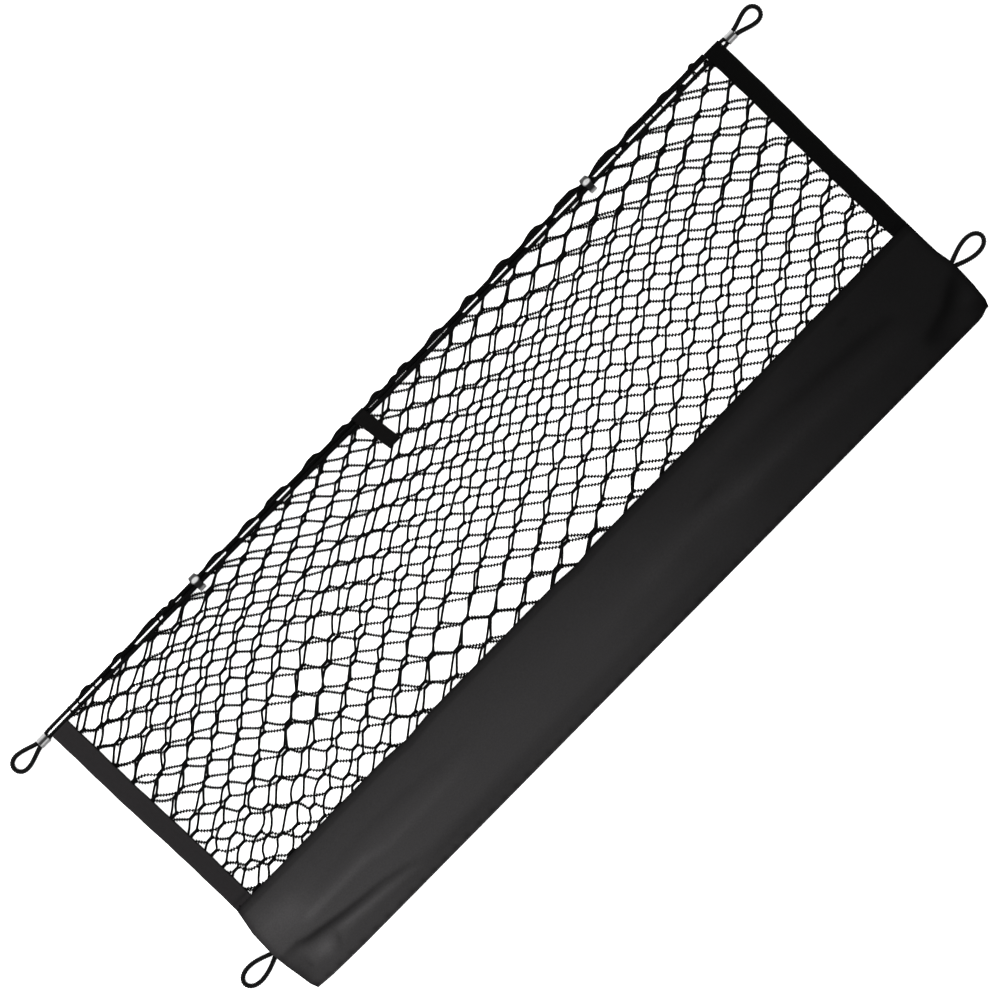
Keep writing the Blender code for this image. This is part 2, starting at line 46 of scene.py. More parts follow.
# The camera looks straight down. The net's length runs up to the right in the picture.
cameraSettings = {"turn": -45.4, "centre": (0.6, 20.3), "width": 936.5, "lens": 120.0,
                  "sensor": 36.0, "clip": (0.05, 50.0)}


def addObject(name, data):
    made = bpy.data.objects.new(name, data)
    bpy.context.scene.collection.objects.link(made)
    return made


def addCamera(settings):
    # height = width seen * lens / sensor
    data = bpy.data.cameras.new("camera")
    data.lens = settings["lens"]
    data.sensor_width = settings["sensor"]
    data.clip_start, data.clip_end = settings["clip"]
    height = settings["width"] * mm * settings["lens"] / settings["sensor"]
    made = addObject("camera", data)
    made.location = (settings["centre"][0] * mm, settings["centre"][1] * mm, height)
    made.rotation_euler = (0.0, 0.0, math.radians(settings["turn"]))
    bpy.context.scene.camera = made


# Making meshes from arrays


def lineAt(low, high, share):
    return low + (high - low) * share


def smoothStep(x):
    x = np.clip(x, 0.0, 1.0)
    return x * x * (3.0 - 2.0 * x)


def bell(x):
    return np.exp(-x * x)


def stacked(*parts):
    # arrays as the coordinates of points; a narrow one counts for all rows or columns
    return np.stack(np.broadcast_arrays(*parts), axis=-1)


def gridFaces(rows, columns, wrapRows, wrapColumns):
    # a quad between each four neighbours; a wrapped side joins its last line to its first.
    # Also gives each corner's row and column, counted on past the join, for the UV map.
    r = np.arange(rows if wrapRows else rows - 1)[:, None, None]
    c = np.arange(columns if wrapColumns else columns - 1)[None, :, None]
    atRow, atColumn = r + np.array([0, 0, 1, 1]), c + np.array([0, 1, 1, 0])
    faces = (atRow % rows) * columns + atColumn % columns
    return faces.reshape(-1, 4), stacked(atRow, atColumn).reshape(-1, 4, 2)


def tableRows(columns, rows):
    # a dictionary for each row of a table
    return [dict(zip(columns.split(), row)) for row in rows]


def readTable(table, key, value, at):
    return np.interp(at, table[key], table[value])


def putMesh(name, points, faces, uv, material):
    # faces may be several arrays, each with its own number of corners
    mesh = bpy.data.meshes.new(name)
    corners = [face for part in faces for face in part.tolist()]
    mesh.from_pydata(points.reshape(-1, 3).tolist(), [], corners)
    layer = mesh.uv_layers.new(name="weave")
    flat = np.concatenate([np.asarray(part, float).reshape(-1, 2) for part in uv])
    layer.data.foreach_set("uv", flat.ravel())
    mesh.shade_smooth()
    mesh.materials.append(material)
    made = addObject(name, mesh)
    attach(made, "root")
    return made


def putSurface(name, grid, uvGrid, material, wrapRows=False, wrapColumns=False):
    # one grid of points; uvGrid has a value also for the lines past a join
    rows, columns = grid.shape[:2]
    faces, corners = gridFaces(rows, columns, wrapRows, wrapColumns)
    uv = uvGrid[corners[..., 0], corners[..., 1]]
    return putMesh(name, grid, [faces], [uv], material)


def tubeRings(paths, radius, sides, closed=False):
    # a circle across each path: point = path + radius (cos a * sideways + sin a * upwards).
    # The radius is one number, one for each ring, or one for each point of the rings.
    if closed:
        along = np.roll(paths, -1, axis=1) - np.roll(paths, 1, axis=1)
    else:
        along = np.gradient(paths, axis=1)
    along = along / np.linalg.norm(along, axis=-1, keepdims=True)
    sideways = np.cross(np.array([0.0, 0.0, 1.0]), along)
    sideways /= np.linalg.norm(sideways, axis=-1, keepdims=True)
    upwards = np.cross(along, sideways)
    turn = fullTurn * np.arange(sides) / sides
    ring = (np.cos(turn)[:, None] * sideways[:, :, None]
            + np.sin(turn)[:, None] * upwards[:, :, None])
    if np.ndim(radius) < 2 or np.shape(radius)[-1] != sides:
        radius = np.broadcast_to(radius, paths.shape[:2])[..., None]
    return paths[:, :, None] + radius[..., None] * ring


def lengthAlong(paths, closed=False):
    # distance from each path's start to each of its points, and once round if it is closed
    if closed:
        paths = np.concatenate([paths, paths[:, :1]], axis=1)
    steps = np.linalg.norm(np.diff(paths, axis=1), axis=-1)
    return np.concatenate([np.zeros((len(paths), 1)), np.cumsum(steps, axis=1)], axis=1)


def tubeParts(paths, radius, sides, closed=False):
    # many tubes of equally many rings: their points, faces and UV, as putMesh takes them.
    # UV: millimetres along, share of the way round. An open tube's two ends are closed.
    rings = tubeRings(paths, radius, sides, closed)
    count, length = rings.shape[:2]
    faces, corners = gridFaces(length, sides, closed, True)
    first = (np.arange(count) * length * sides)[:, None, None]
    parts = [(first + faces[None]).reshape(-1, 4)]
    along = lengthAlong(paths, closed) / mm
    uv = [stacked(along[:, corners[..., 0]], corners[..., 1] / sides)]
    if not closed:
        cap = np.arange(sides)
        parts += [first[:, 0] + cap[::-1], first[:, 0] + (length - 1) * sides + cap]
        uv += 2 * [np.zeros((count * sides, 2))]
    return rings.reshape(-1, 3), parts, uv


def putTubes(name, groups, material):
    # several sets of tubes in one mesh
    points, faces, uv, start = [], [], [], 0
    for groupPoints, groupFaces, groupUv in groups:
        points.append(groupPoints)
        faces += [part + start for part in groupFaces]
        uv += groupUv
        start += len(groupPoints)
    return putMesh(name, np.concatenate(points), faces, uv, material)


def smoothRoute(points, closed, spacing, steps=24):
    # a Catmull-Rom curve: between b and c it is the cubic of a, b, c, d that leaves b along
    # c - a and reaches c along d - b; then points at even spacing along it
    p = np.array(points, float)
    if closed:
        p = np.concatenate([p[-1:], p, p[:2]])
    else:
        p = np.concatenate([2 * p[:1] - p[1:2], p, 2 * p[-1:] - p[-2:-1]])
    a, b, c, d = p[:-3, None], p[1:-2, None], p[2:-1, None], p[3:, None]
    t = (np.arange(steps) / steps)[None, :, None]
    curve = 0.5 * (2 * b + (c - a) * t + (2 * a - 5 * b + 4 * c - d) * t**2
                   + (3 * b - a - 3 * c + d) * t**3)
    curve = np.concatenate([curve.reshape(-1, 3), p[-2:-1]])
    distance = lengthAlong(curve[None])[0]
    count = int(round(distance[-1] / spacing))
    even = np.linspace(0.0, distance[-1], count + 1)
    route = np.stack([np.interp(even, distance, curve[:, k]) for k in range(3)], axis=1)
    return route[:-1] if closed else route


# Materials: node helpers


def fill(made, inputs):
    # each input gets a number, a colour or another node's value
    for key, value in inputs.items():
        if isinstance(value, Value):
            value.tree.links.new(value.socket, made.inputs[key])
        else:
            made.inputs[key].default_value = value


def newNode(tree, kind, inputs, output=0, **settings):
    made = tree.nodes.new(kind)
    for key, setting in settings.items():
        setattr(made, key, setting)
    fill(made, inputs)
    return Value(made.outputs[output])


class Value:
    # a number or colour in a material's node tree; sums, products and sines are Math nodes
    def __init__(self, socket):
        self.socket, self.tree = socket, socket.id_data

    def calc(self, operation, other=0.0):
        return newNode(self.tree, "ShaderNodeMath", {0: self, 1: other}, operation=operation)

    def __add__(self, other):
        return self.calc("ADD", other)

    def __mul__(self, other):
        return self.calc("MULTIPLY", other)

    def wave(self):
        return self.calc("SINE") * 0.5 + 0.5


def newMaterial(name, look):
    made = bpy.data.materials.new(name)
    made.use_nodes = True
    shader = made.node_tree.nodes["Principled BSDF"]
    fill(shader, {"Roughness": look["rough"], "Specular IOR Level": look["gloss"]})
    return made, made.node_tree, shader


def objectPlace(tree):
    return newNode(tree, "ShaderNodeTexCoord", {}, "Object")


def uvParts(tree):
    # the two numbers of the piece's own UV map, in millimetres or shares
    both = newNode(tree, "ShaderNodeUVMap", {}, uv_map="weave")
    return [newNode(tree, "ShaderNodeSeparateXYZ", {0: both}, k) for k in (0, 1)]


def noise(tree, scale, detail=2.0):
    inputs = {"Vector": objectPlace(tree), "Scale": scale, "Detail": detail}
    return newNode(tree, "ShaderNodeTexNoise", inputs, "Fac")


def ramp(value, stops):
    # stops are (place, grey or colour)
    made = newNode(value.tree, "ShaderNodeValToRGB", {0: value})
    elements = made.socket.node.color_ramp.elements
    while len(elements) < len(stops):
        elements.new(0.5)
    for element, (place, colour) in zip(elements, stops):
        element.position = place
        element.color = (*np.broadcast_to(colour, 3), 1.0)
    return made


def mixed(a, b, factor=1.0, blend="MULTIPLY"):
    return newNode(a.tree, "ShaderNodeMix", {"Factor": factor, "A": a, "B": b}, "Result",
                   data_type="RGBA", blend_type=blend)


def bump(height, strength, distance, **under):
    inputs = {"Height": height, "Strength": strength, "Distance": distance, **under}
    return newNode(height.tree, "ShaderNodeBump", inputs)


bumpDepth = 0.0003  # of knitted and woven surfaces, in metres
elasticLook = {"braidPitch": 2.1, "carriers": 4, "threads": 4.0, "threadHeight": 0.15,
               "mottleScale": 900.0, "dark": 0.0005, "light": 0.0032, "rough": 0.6,
               "gloss": 0.07, "bump": 0.6}


def elasticMaterial(look):
    # braided cover: two families of strands wind round the cord both ways; height is the product
    # of their waves, so each strand dives under the next, with a few threads in each strand
    made, tree, shader = newMaterial("braided elastic", look)
    u, v = uvParts(tree)
    along, around = u * (fullTurn / look["braidPitch"]), v * (fullTurn * look["carriers"])
    oneWay, otherWay = along + around, along.calc("SUBTRACT", around)
    threads = (oneWay * look["threads"]).wave() * look["threadHeight"]
    height = oneWay.wave() * otherWay.wave() + threads
    colour = ramp(height * (noise(tree, look["mottleScale"]) + 0.5),
                  [(0.0, look["dark"]), (0.9, look["light"])])
    fill(shader, {"Base Color": colour, "Normal": bump(height, look["bump"], bumpDepth)})
    return made


yarnLook = {"stitchPitch": 1.5, "chevron": 2.2, "fuzzScale": 1600.0, "fuzz": 0.4, "dark": 0.0004,
            "light": 0.0022, "rough": 0.75, "gloss": 0.03, "bump": 0.7}


def yarnMaterial(look):
    # knitted chain: chevrons that point along the yarn, one for each stitch
    made, tree, shader = newMaterial("net yarn", look)
    u, v = uvParts(tree)
    side = (v * fullTurn).calc("SINE").calc("ABSOLUTE")
    stitches = (u * (fullTurn / look["stitchPitch"]) + side * look["chevron"]).wave()
    height = stitches + noise(tree, look["fuzzScale"]) * look["fuzz"]
    colour = ramp(height, [(0.1, look["dark"]), (1.2, look["light"])])
    fill(shader, {"Base Color": colour, "Normal": bump(height, look["bump"], bumpDepth)})
    return made


# "along" is how pale the cloth is from its left end to its right one; the paler left end is painted
# sheen of the light from that side
clothLook = {"threads": 0.55, "deep": 0.86, "lift": 0.22, "weaveBump": (0.35, 0.00018),
             "length": 0.91, "mottle": 0.10, "mottleScale": 14.0, "fineScale": 700.0,
             "waveScale": 60.0, "waveBump": (0.25, 0.0012), "rough": 0.55, "roughRange": 0.16,
             "gloss": 0.03,
             "along": ((0.0, 0.0226), (0.17, 0.0183), (0.30, 0.0157), (0.50, 0.0124),
                       (0.61, 0.0093), (0.72, 0.0062), (0.83, 0.0042), (0.94, 0.0031),
                       (1.0, 0.0028)),
             "tint": (1.02, 0.98, 1.0)}


def clothMaterial(look):
    # plain weave: the sines of both thread counts, over and under in turn. The cloth is paler
    # towards its left end as painted sheen, mottled a little, and shaded by its own attribute of
    # painted shade and sheen.
    made, tree, shader = newMaterial("pocket cloth", look)
    warp, weft = ((part * (math.pi / look["threads"])).calc("SINE") for part in uvParts(tree))
    over = warp * weft * 0.5 + 0.5
    x = newNode(tree, "ShaderNodeSeparateXYZ", {0: objectPlace(tree)})
    mottle = (noise(tree, look["mottleScale"], 3.0) + -0.5) * look["mottle"]
    share = x * (1.0 / look["length"]) + 0.5 + mottle
    # paler towards the left end: painted sheen of the light from the left
    base = ramp(share, [(at, pale * np.array(look["tint"])) for at, pale in look["along"]])
    fine = noise(tree, look["fineScale"])
    shade = (over * look["lift"] + look["deep"]) * (fine * 0.5 + 0.75)
    # the cloth's painted shade and sheen, from clothShade
    paintedShade = newNode(tree, "ShaderNodeAttribute", {}, "Fac", attribute_name="shade")
    weave = bump(over, *look["weaveBump"])
    waves = noise(tree, look["waveScale"], 3.0)
    fill(shader, {"Base Color": mixed(mixed(base, shade), paintedShade),
                  "Roughness": fine * look["roughRange"] + (look["rough"] - look["roughRange"] / 2),
                  "Normal": bump(waves, *look["waveBump"], Normal=weave)})
    return made


tapeLook = {"rib": 1.15, "twill": 0.9, "twillHeight": 0.45, "deep": 0.62, "lift": 0.35,
            "fineScale": 900.0, "rough": 0.78, "gloss": 0.04, "bump": 0.6}


def tapeMaterial(name, look, colour):
    # ribbed webbing: ribs run along the tape, each a chain of small twill steps
    made, tree, shader = newMaterial(name, look)
    u, v = uvParts(tree)
    ribs = (u * (math.pi / look["rib"])).calc("SINE").calc("ABSOLUTE")
    twill = (v * (fullTurn / look["twill"]) + u * (fullTurn / look["rib"])).wave()
    height = ribs + twill * look["twillHeight"]
    fine = noise(tree, look["fineScale"])
    shade = (height * look["lift"] + look["deep"]) * (fine * 0.5 + 0.75)
    base = newNode(tree, "ShaderNodeRGB", {})
    base.socket.default_value = (*colour, 1.0)
    fill(shader, {"Base Color": mixed(base, shade),
                  "Normal": bump(height, look["bump"], bumpDepth)})
    return made


steelLook = {"light": 0.92, "dull": 0.78, "patchScale": 300.0, "rough": 0.26, "gloss": 0.5,
             "marks": 0.22, "markScale": 2600.0, "roughFrom": 0.18, "markBump": (0.15, 0.0001)}


def steelMaterial(name, look, paintedReflectionOf):
    # plating with fine drawn marks and a few duller patches; the shading function passed in gives
    # how dark each place of the fitting is, as painted reflection, from its UV in millimetres
    made, tree, shader = newMaterial(name, look)
    marks = noise(tree, look["markScale"], 3.0)
    patches = ramp(noise(tree, look["patchScale"], 3.0),
                   [(0.3, look["dull"] * look["light"]), (0.7, look["light"])])
    fill(shader, {"Base Color": mixed(patches, paintedReflectionOf(*uvParts(tree))), "Metallic": 1.0,
                  "Roughness": marks * look["marks"] + look["roughFrom"],
                  "Normal": bump(marks, *look["markBump"])})
    return made


def crimpPaintedReflection(u, v):
    # v is the distance to the sleeve's middle line: painted reflection, dark at the pressed groove
    # between bright tops, and greyer at the lower edge
    return ramp(v * (1.0 / 12.0) + 0.5,
                [(0.03, 0.26), (0.22, 0.33), (0.26, 0.75), (0.34, 0.75), (0.385, 0.075),
                 (0.56, 0.075), (0.63, 0.45), (0.72, 0.84), (0.96, 0.85)])


def clipPaintedReflection(u, v):
    # painted reflection: round its bright raised middle the band's upper half has a dark rim; its
    # lower half is darker still and brightens where it turns in
    aside, above = u * 0.62, v + -2.15
    away = (aside * aside + above * above).calc("SQRT")
    upper = ramp(away * (1.0 / 6.0), [(0.0, 1.0), (0.31, 0.97), (0.45, 0.13), (0.9, 0.11)])
    height = v * (1.0 / 20.0) + 0.5
    lower = ramp(height,
                 [(0.02, 0.90), (0.10, 0.45), (0.16, 0.13), (0.21, 0.022), (0.44, 0.022)])
    return mixed(lower, upper, ramp(height, [(0.44, 0.0), (0.52, 1.0)]), "MIX")


# Elastic: the top ring with its two corner loops, and the two sewn-in bottom loops

# it is stretched thinner along the top edge than in its loops
elasticSettings = {"diameter": 3.7, "loopDiameter": 4.5, "sides": 14, "spacing": 0.47,
                   "loopSteps": 20, "tipZ": 2.45, "crimpLeg": 0.6, "legGap": 0.15, "relief": 0.55,
                   "swellFrom": 460.0, "swellOver": 5.5, "rootZ": 3.0, "sewnIn": 13.0}
runs = {"x": (-449.5, -330.0, -253.0, -140.0, 10.0, 110.0, 268.0, 320.0, 450.0),
        "upper": (170.05, 170.9, 171.2, 170.95, 169.5, 170.65, 172.6, 173.35, 174.4),
        "lower": (164.85, 165.6, 166.1, 165.85, 164.9, 165.7, 167.05, 167.9, 168.5),
        "steps": 22}
corners = (
    {"name": "crimpLeft", "node": "crimp_left", "side": -1, "y": 166.6, "crimp": (454.1, 464.8),
     "tip": 500.0, "width": 20.5, "parting": 1.8, "pairHalf": 2.35},
    {"name": "crimpRight", "node": "crimp_right", "side": 1, "y": 171.3, "crimp": (455.2, 465.4),
     "tip": 500.0, "width": 20.2, "parting": 2.0, "pairHalf": 2.35},
)
bottomLoops = (
    {"name": "loopLeft", "node": "loop_left", "side": -1, "exitX": 451.4, "tip": 491.6,
     "y": -127.8, "width": 22.1, "parting": 1.15, "pairHalf": 2.2},
    {"name": "loopRight", "node": "loop_right", "side": 1, "exitX": 455.8, "tip": 495.7,
     "y": -126.8, "width": 22.1, "parting": 1.15, "pairHalf": 2.2},
)


def dropLoop(loop, exitX, startZ):
    # x goes out and back like (1 - cos t) / 2; the legs part like sin(t) sin(t / 2)^parting, so a
    # larger parting keeps them together for longer. The loop sinks to the floor at its tip.
    e, pair, parting = elasticSettings, loop["pairHalf"], loop["parting"]
    reach = (loop["tip"] - e["loopDiameter"] / 2) - exitX
    widest = 2.0 * math.atan(math.sqrt(1.0 + parting))
    belly = (loop["width"] - e["loopDiameter"]) / 2 - pair * math.cos(widest / 2)
    belly /= math.sin(widest) * math.sin(widest / 2) ** parting
    t = np.linspace(0.0, fullTurn, e["loopSteps"] + 1)
    out = (1.0 - np.cos(t)) / 2
    across = pair * np.cos(t / 2) + belly * np.sin(t) * np.abs(np.sin(t / 2)) ** parting
    z = lineAt(startZ, e["tipZ"], smoothStep(out))
    return stacked(loop["side"] * (exitX + reach * out), loop["y"] + across, z)


def runY(run, x):
    return readTable(runs, "x", run, x)


def runPoints(run):
    x = np.linspace(runs["x"][0], runs["x"][-1], runs["steps"] + 1)
    return stacked(x, runY(run, x), layerZ["middle"])


def withLegs(loop, shape, startX, apart, z):
    # a loop between the starts of its two straight legs
    upper, lower = ([[loop["side"] * startX, loop["y"] + apart * way, z]] for way in (1, -1))
    return np.concatenate([upper, shape, lower])


def cornerLoop(corner):
    # both straight legs pass through the crimp, and the loop starts behind it
    near, far = corner["crimp"]
    e, z = elasticSettings, layerZ["middle"]
    shape = dropLoop(corner, far + e["crimpLeg"], z)
    return withLegs(corner, shape, near - e["crimpLeg"], e["diameter"] / 2 + e["legGap"], z)


def braidTube(path, closed):
    # both ways the braid's strands cross at every half turn: radius = cord's radius
    # + relief ((cos(2 pi u / pitch) + cos(carriers * angle)) / 2 - 0.5)
    e = elasticSettings
    along = lengthAlong(path[None], closed)[0, :len(path)] / mm
    angle = fullTurn * np.arange(e["sides"]) / e["sides"]
    swell = (np.cos(fullTurn * along / elasticLook["braidPitch"])[:, None]
             + np.cos(elasticLook["carriers"] * angle)[None, :]) / 2
    slack = np.ones(len(path))
    if closed:
        slack = smoothStep((np.abs(path[:, 0]) / mm - e["swellFrom"]) / e["swellOver"])
    radius = lineAt(e["diameter"], e["loopDiameter"], slack)[:, None] / 2
    return tubeParts(path[None], (radius + e["relief"] * (swell - 0.5)) * mm, e["sides"], closed)


def makeElastic(material):
    e = elasticSettings
    left, right = (cornerLoop(corner) for corner in corners)
    upper, lower = runPoints("upper"), runPoints("lower")
    middle = len(upper) // 2  # the ring's two ends meet in the middle of the upper run
    route = np.concatenate([upper[middle::-1], left, lower, right[::-1], upper[:middle:-1]])
    path = smoothRoute(route * mm, True, e["spacing"] * mm)
    ring = putTubes("topElastic", [braidTube(path, True)], material)
    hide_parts("top_elastic")
    for loop in bottomLoops:
        shape = dropLoop(loop, loop["exitX"], e["rootZ"])
        route = withLegs(loop, shape, loop["exitX"] - e["sewnIn"], loop["pairHalf"], e["rootZ"])
        path = smoothRoute(route * mm, False, e["spacing"] * mm)
        made = putTubes(loop["name"], [braidTube(path, False)], material)
        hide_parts(loop["node"])


# Metal fittings: pressed sleeves behind the corner loops, and bent bands over both runs

crimpSettings = {"halfY": 5.45, "halfZ": 3.2, "wall": 0.75, "groove": 0.30, "grooveHalf": 1.2,
                 "rim": 0.35, "around": 56, "outsideSteps": 9, "insideSteps": 3}
clips = ({"name": "clipLeft", "node": "clip_left", "x": -252.9, "y": 168.7},
         {"name": "clipRight", "node": "clip_right", "x": 268.7, "y": 169.5})
clipSettings = {"wide": 9.2, "narrow": 6.8, "low": 9.6, "high": 8.15, "wall": 0.8, "seam": 0.7,
                "taper": 2.5, "crown": 0.55, "crownOver": 1.5, "roundTop": 4.6, "topShare": 0.55,
                "sink": 0.3, "across": 17, "backSteps": 7, "frontSteps": 10, "turnSteps": 12}


def makeCrimp(corner, material):
    # section: y = a cos(angle), z = b sin(angle) (1 - groove bell(y / grooveHalf)); out along the
    # outside, round the far rim, and back along the inside
    c = crimpSettings
    near, far = corner["crimp"]
    rim, wall, steps = c["rim"], c["wall"], c["outsideSteps"]
    x = np.concatenate([[near], np.linspace(near + rim, far - rim, steps), [far],
                        np.linspace(far - rim, near + rim, c["insideSteps"])])
    inset = np.concatenate([[wall / 2], np.zeros(steps), [wall / 2],
                            np.full(c["insideSteps"], wall)])[:, None]
    angle = fullTurn * np.arange(c["around"]) / c["around"]
    y = (c["halfY"] - inset) * np.cos(angle)
    z = (c["halfZ"] - inset) * np.sin(angle) * (1.0 - c["groove"] * bell(y / c["grooveHalf"]))
    x = corner["side"] * x[:, None]
    grid = stacked(x, corner["y"] + y, layerZ["middle"] + z) * mm
    uv = stacked(x, y)
    if corner["side"] > 0:
        grid, uv = grid[::-1], uv[::-1]
    uv = np.pad(uv, ((0, 1), (0, 1), (0, 0)), mode="wrap")
    made = putSurface(corner["name"], grid, uv, material, True, True)
    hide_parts(corner["node"])


def makeClip(clip, material):
    # a band from under both runs, round the upper run and back down over both, then turned in
    # at its lower end; its front is crowned and its upper end rounded
    c = clipSettings
    low, high = -c["low"] + c["wall"] / 2, c["high"] - c["wall"] / 2
    back, front = layerZ["backCloth"], layerZ["frontCloth"]
    radius, middle = (front - back) / 2, (front + back) / 2
    turn = np.pi * np.arange(c["turnSteps"] + 1) / c["turnSteps"]
    y = np.concatenate([
        np.linspace(low + radius + c["seam"], high - radius, c["backSteps"] + 1)[:-1],
        high - radius + radius * np.sin(turn),
        np.linspace(high - radius, low + radius, c["frontSteps"] + 2)[1:-1],
        low + radius - radius * np.sin(turn)])[:, None]
    z = np.concatenate([np.full(c["backSteps"], back), middle - radius * np.cos(turn),
                        np.full(c["frontSteps"], front), middle + radius * np.cos(turn)])[:, None]
    side = np.linspace(-1.0, 1.0, c["across"])[None, :]
    half = lineAt(c["narrow"], c["wide"], smoothStep(y / c["taper"] + 0.5)) / 2
    fromTop = np.clip((c["high"] - y) / c["roundTop"], 0.0, 1.0)
    half = half * lineAt(c["topShare"], 1.0, np.sqrt(1.0 - (1.0 - fromTop) ** 2))
    crown = c["crown"] * (1.0 - side**2) * smoothStep((z - middle) / c["crownOver"])
    x = side * half
    grid = stacked(clip["x"] + x, clip["y"] + y, z + crown - c["sink"]) * mm
    made = putSurface(clip["name"], grid, stacked(x, y), material)
    addWall(made, c["wall"])
    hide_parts(clip["node"])


# Side bindings and the centre strap: tape folded in half

# the left tape is paler than the right: painted sheen of the light from the left, as on the cloth
bindings = (
    {"name": "bindingLeft", "node": "binding_left", "side": -1, "low": -73.0, "high": 163.4,
     "outer": (-445.4, -451.4), "inner": (-425.5, -430.8), "tape": "binding tape left",
     "colour": (0.0101, 0.0094, 0.0098)},
    {"name": "bindingRight", "node": "binding_right", "side": 1, "low": -67.8, "high": 177.3,
     "outer": (452.1, 450.2), "inner": (433.7, 431.1), "tape": "binding tape right",
     "colour": (0.0010, 0.0010, 0.0010)},
)
tapeSettings = {"thick": 1.15, "wave": 0.35, "waveRates": (9.0, 41.0), "smallWave": 0.35,
                "stations": 150, "legPoints": 12, "foldSteps": 10, "rippleRate": 60.0,
                "tuck": 5.0, "squeeze": 0.5, "seamAt": 3.0, "seamDepth": 0.22, "seamHalf": 1.6,
                "ripple": 0.10}
strapSettings = {"wide": 14.7, "top": (-36.1, 173.2), "end": (-30.1, 127.4), "across": 22,
                 "length": 97.0, "edgeWaves": ((0.25, 0.7), (0.15, 2.3)),
                 "colour": (0.0023, 0.0022, 0.0022)}


def hairpin(openEnd, foldEnd, lowZ, highZ):
    # out along the lower leg, round a half circle at the fold, and back along the upper leg.
    # openEnd and foldEnd are columns, so each station has its own section.
    legs, turns = tapeSettings["legPoints"], tapeSettings["foldSteps"]
    radius = (highZ - lowZ) / 2
    outward = np.sign(foldEnd - openEnd)
    centre = foldEnd - outward * (radius + tapeSettings["thick"] / 2)
    lower = lineAt(openEnd, centre, np.arange(legs) / legs)
    a = np.pi * np.arange(turns + 1) / turns
    across = np.concatenate([lower, centre + outward * radius * np.sin(a), lower[:, ::-1]], axis=1)
    z = np.concatenate([np.full(legs, lowZ), (lowZ + highZ) / 2 - radius * np.cos(a),
                        np.full(legs, highZ)])
    return across, z


def bindingEdges(binding, y):
    share = (y - binding["low"]) / (binding["high"] - binding["low"])
    return lineAt(*binding["outer"], share), lineAt(*binding["inner"], share)


def addWall(made, thick):
    wall = made.modifiers.new("thickness", "SOLIDIFY")
    wall.thickness = thick * mm
    wall.offset = 0.0
    wall.use_even_offset = True


def surfaceUv(grid):
    # millimetres along both directions, measured on the surface's middle lines
    rows, columns = grid.shape[:2]
    v = lengthAlong(grid[:, columns // 2][None])[0] / mm
    u = lengthAlong(grid[rows // 2][None])[0] / mm
    return stacked(u[None, :], v[:, None])


def makeBinding(binding, material):
    s, middle = tapeSettings, layerZ["middle"]
    y = np.linspace(binding["low"] - s["tuck"], binding["high"], s["stations"])[:, None]
    outer, inner = bindingEdges(binding, y)
    share = (y - binding["low"]) / (binding["high"] - binding["low"])
    slow, quick = s["waveRates"]
    sway = s["wave"] * (np.sin(slow * share + binding["side"])
                        + s["smallWave"] * np.sin(quick * share + 2.0 * binding["side"]))
    across, z = hairpin(inner + sway, outer + sway, layerZ["backCloth"], layerZ["frontCloth"])
    # the stitched strip along the inner edge is drawn in a little
    fromSeam = (across - inner - binding["side"] * s["seamAt"]) / s["seamHalf"]
    z = z - s["seamDepth"] * bell(fromSeam) * np.sign(z - middle)
    z = z + s["ripple"] * np.sin(s["rippleRate"] * share + across * 0.3) * (z > middle)
    # its lower end goes into the pocket, squeezed between the flaps
    tucked = smoothStep((binding["low"] + s["tuck"] + 2.0 - y) / 4.0)
    z = lineAt(z, middle + s["squeeze"] * (z - middle), tucked)
    grid = stacked(across, y, z) * mm
    made = putSurface(binding["name"], grid, surfaceUv(grid), material)
    addWall(made, s["thick"])
    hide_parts(binding["node"])


def makeStrap(material):
    s = strapSettings
    (topX, topY), (endX, endY) = s["top"], s["end"]
    side = np.linspace(-0.5, 0.5, s["across"])[:, None]
    y, z = hairpin(np.full_like(side, endY), np.full_like(side, topY), layerZ["backCloth"],
                   layerZ["frontCloth"])
    x = lineAt(endX, topX, (y - endY) / (topY - endY))
    wide = s["wide"] + sum(swing * np.sin(y * rate) for swing, rate in s["edgeWaves"])
    grid = stacked(x + side * wide, y, z) * mm
    made = putSurface("centreStrap", grid, surfaceUv(grid), material)
    addWall(made, tapeSettings["thick"])
    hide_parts("centre_strap")


# Pocket cloth: one length folded at the bottom edge

clothSettings = {"thick": 1.0, "restZ": 3.6, "columns": 300, "frontRows": 76, "backRows": 10,
                 "foldSteps": 8, "ends": (-447.0, 453.0)}
leftEdge = {"y": (-178.0, -171.0, -143.3, -125.5, -99.9, -74.0),
            "x": (-443.5, -446.2, -449.9, -451.4, -450.5, -445.2)}
rightEdge = {"y": (-179.0, -171.0, -153.3, -125.5, -107.7, -70.0),
             "x": (450.0, 453.4, 455.2, 455.8, 452.9, 451.9)}
bottomFold = {"x": (-446.0, -429.6, -390.0, 438.0, 445.0, 449.0),
              "y": (-178.9, -180.4, -181.4, -181.4, -180.4, -178.2)}
topEdge = {"x": (-452.0, -250.0, -221.0, -190.0, -20.0, 5.0, 30.0, 452.0),
           "y": (-73.7, -72.4, -74.6, -72.0, -71.2, -73.0, -71.0, -68.4)}
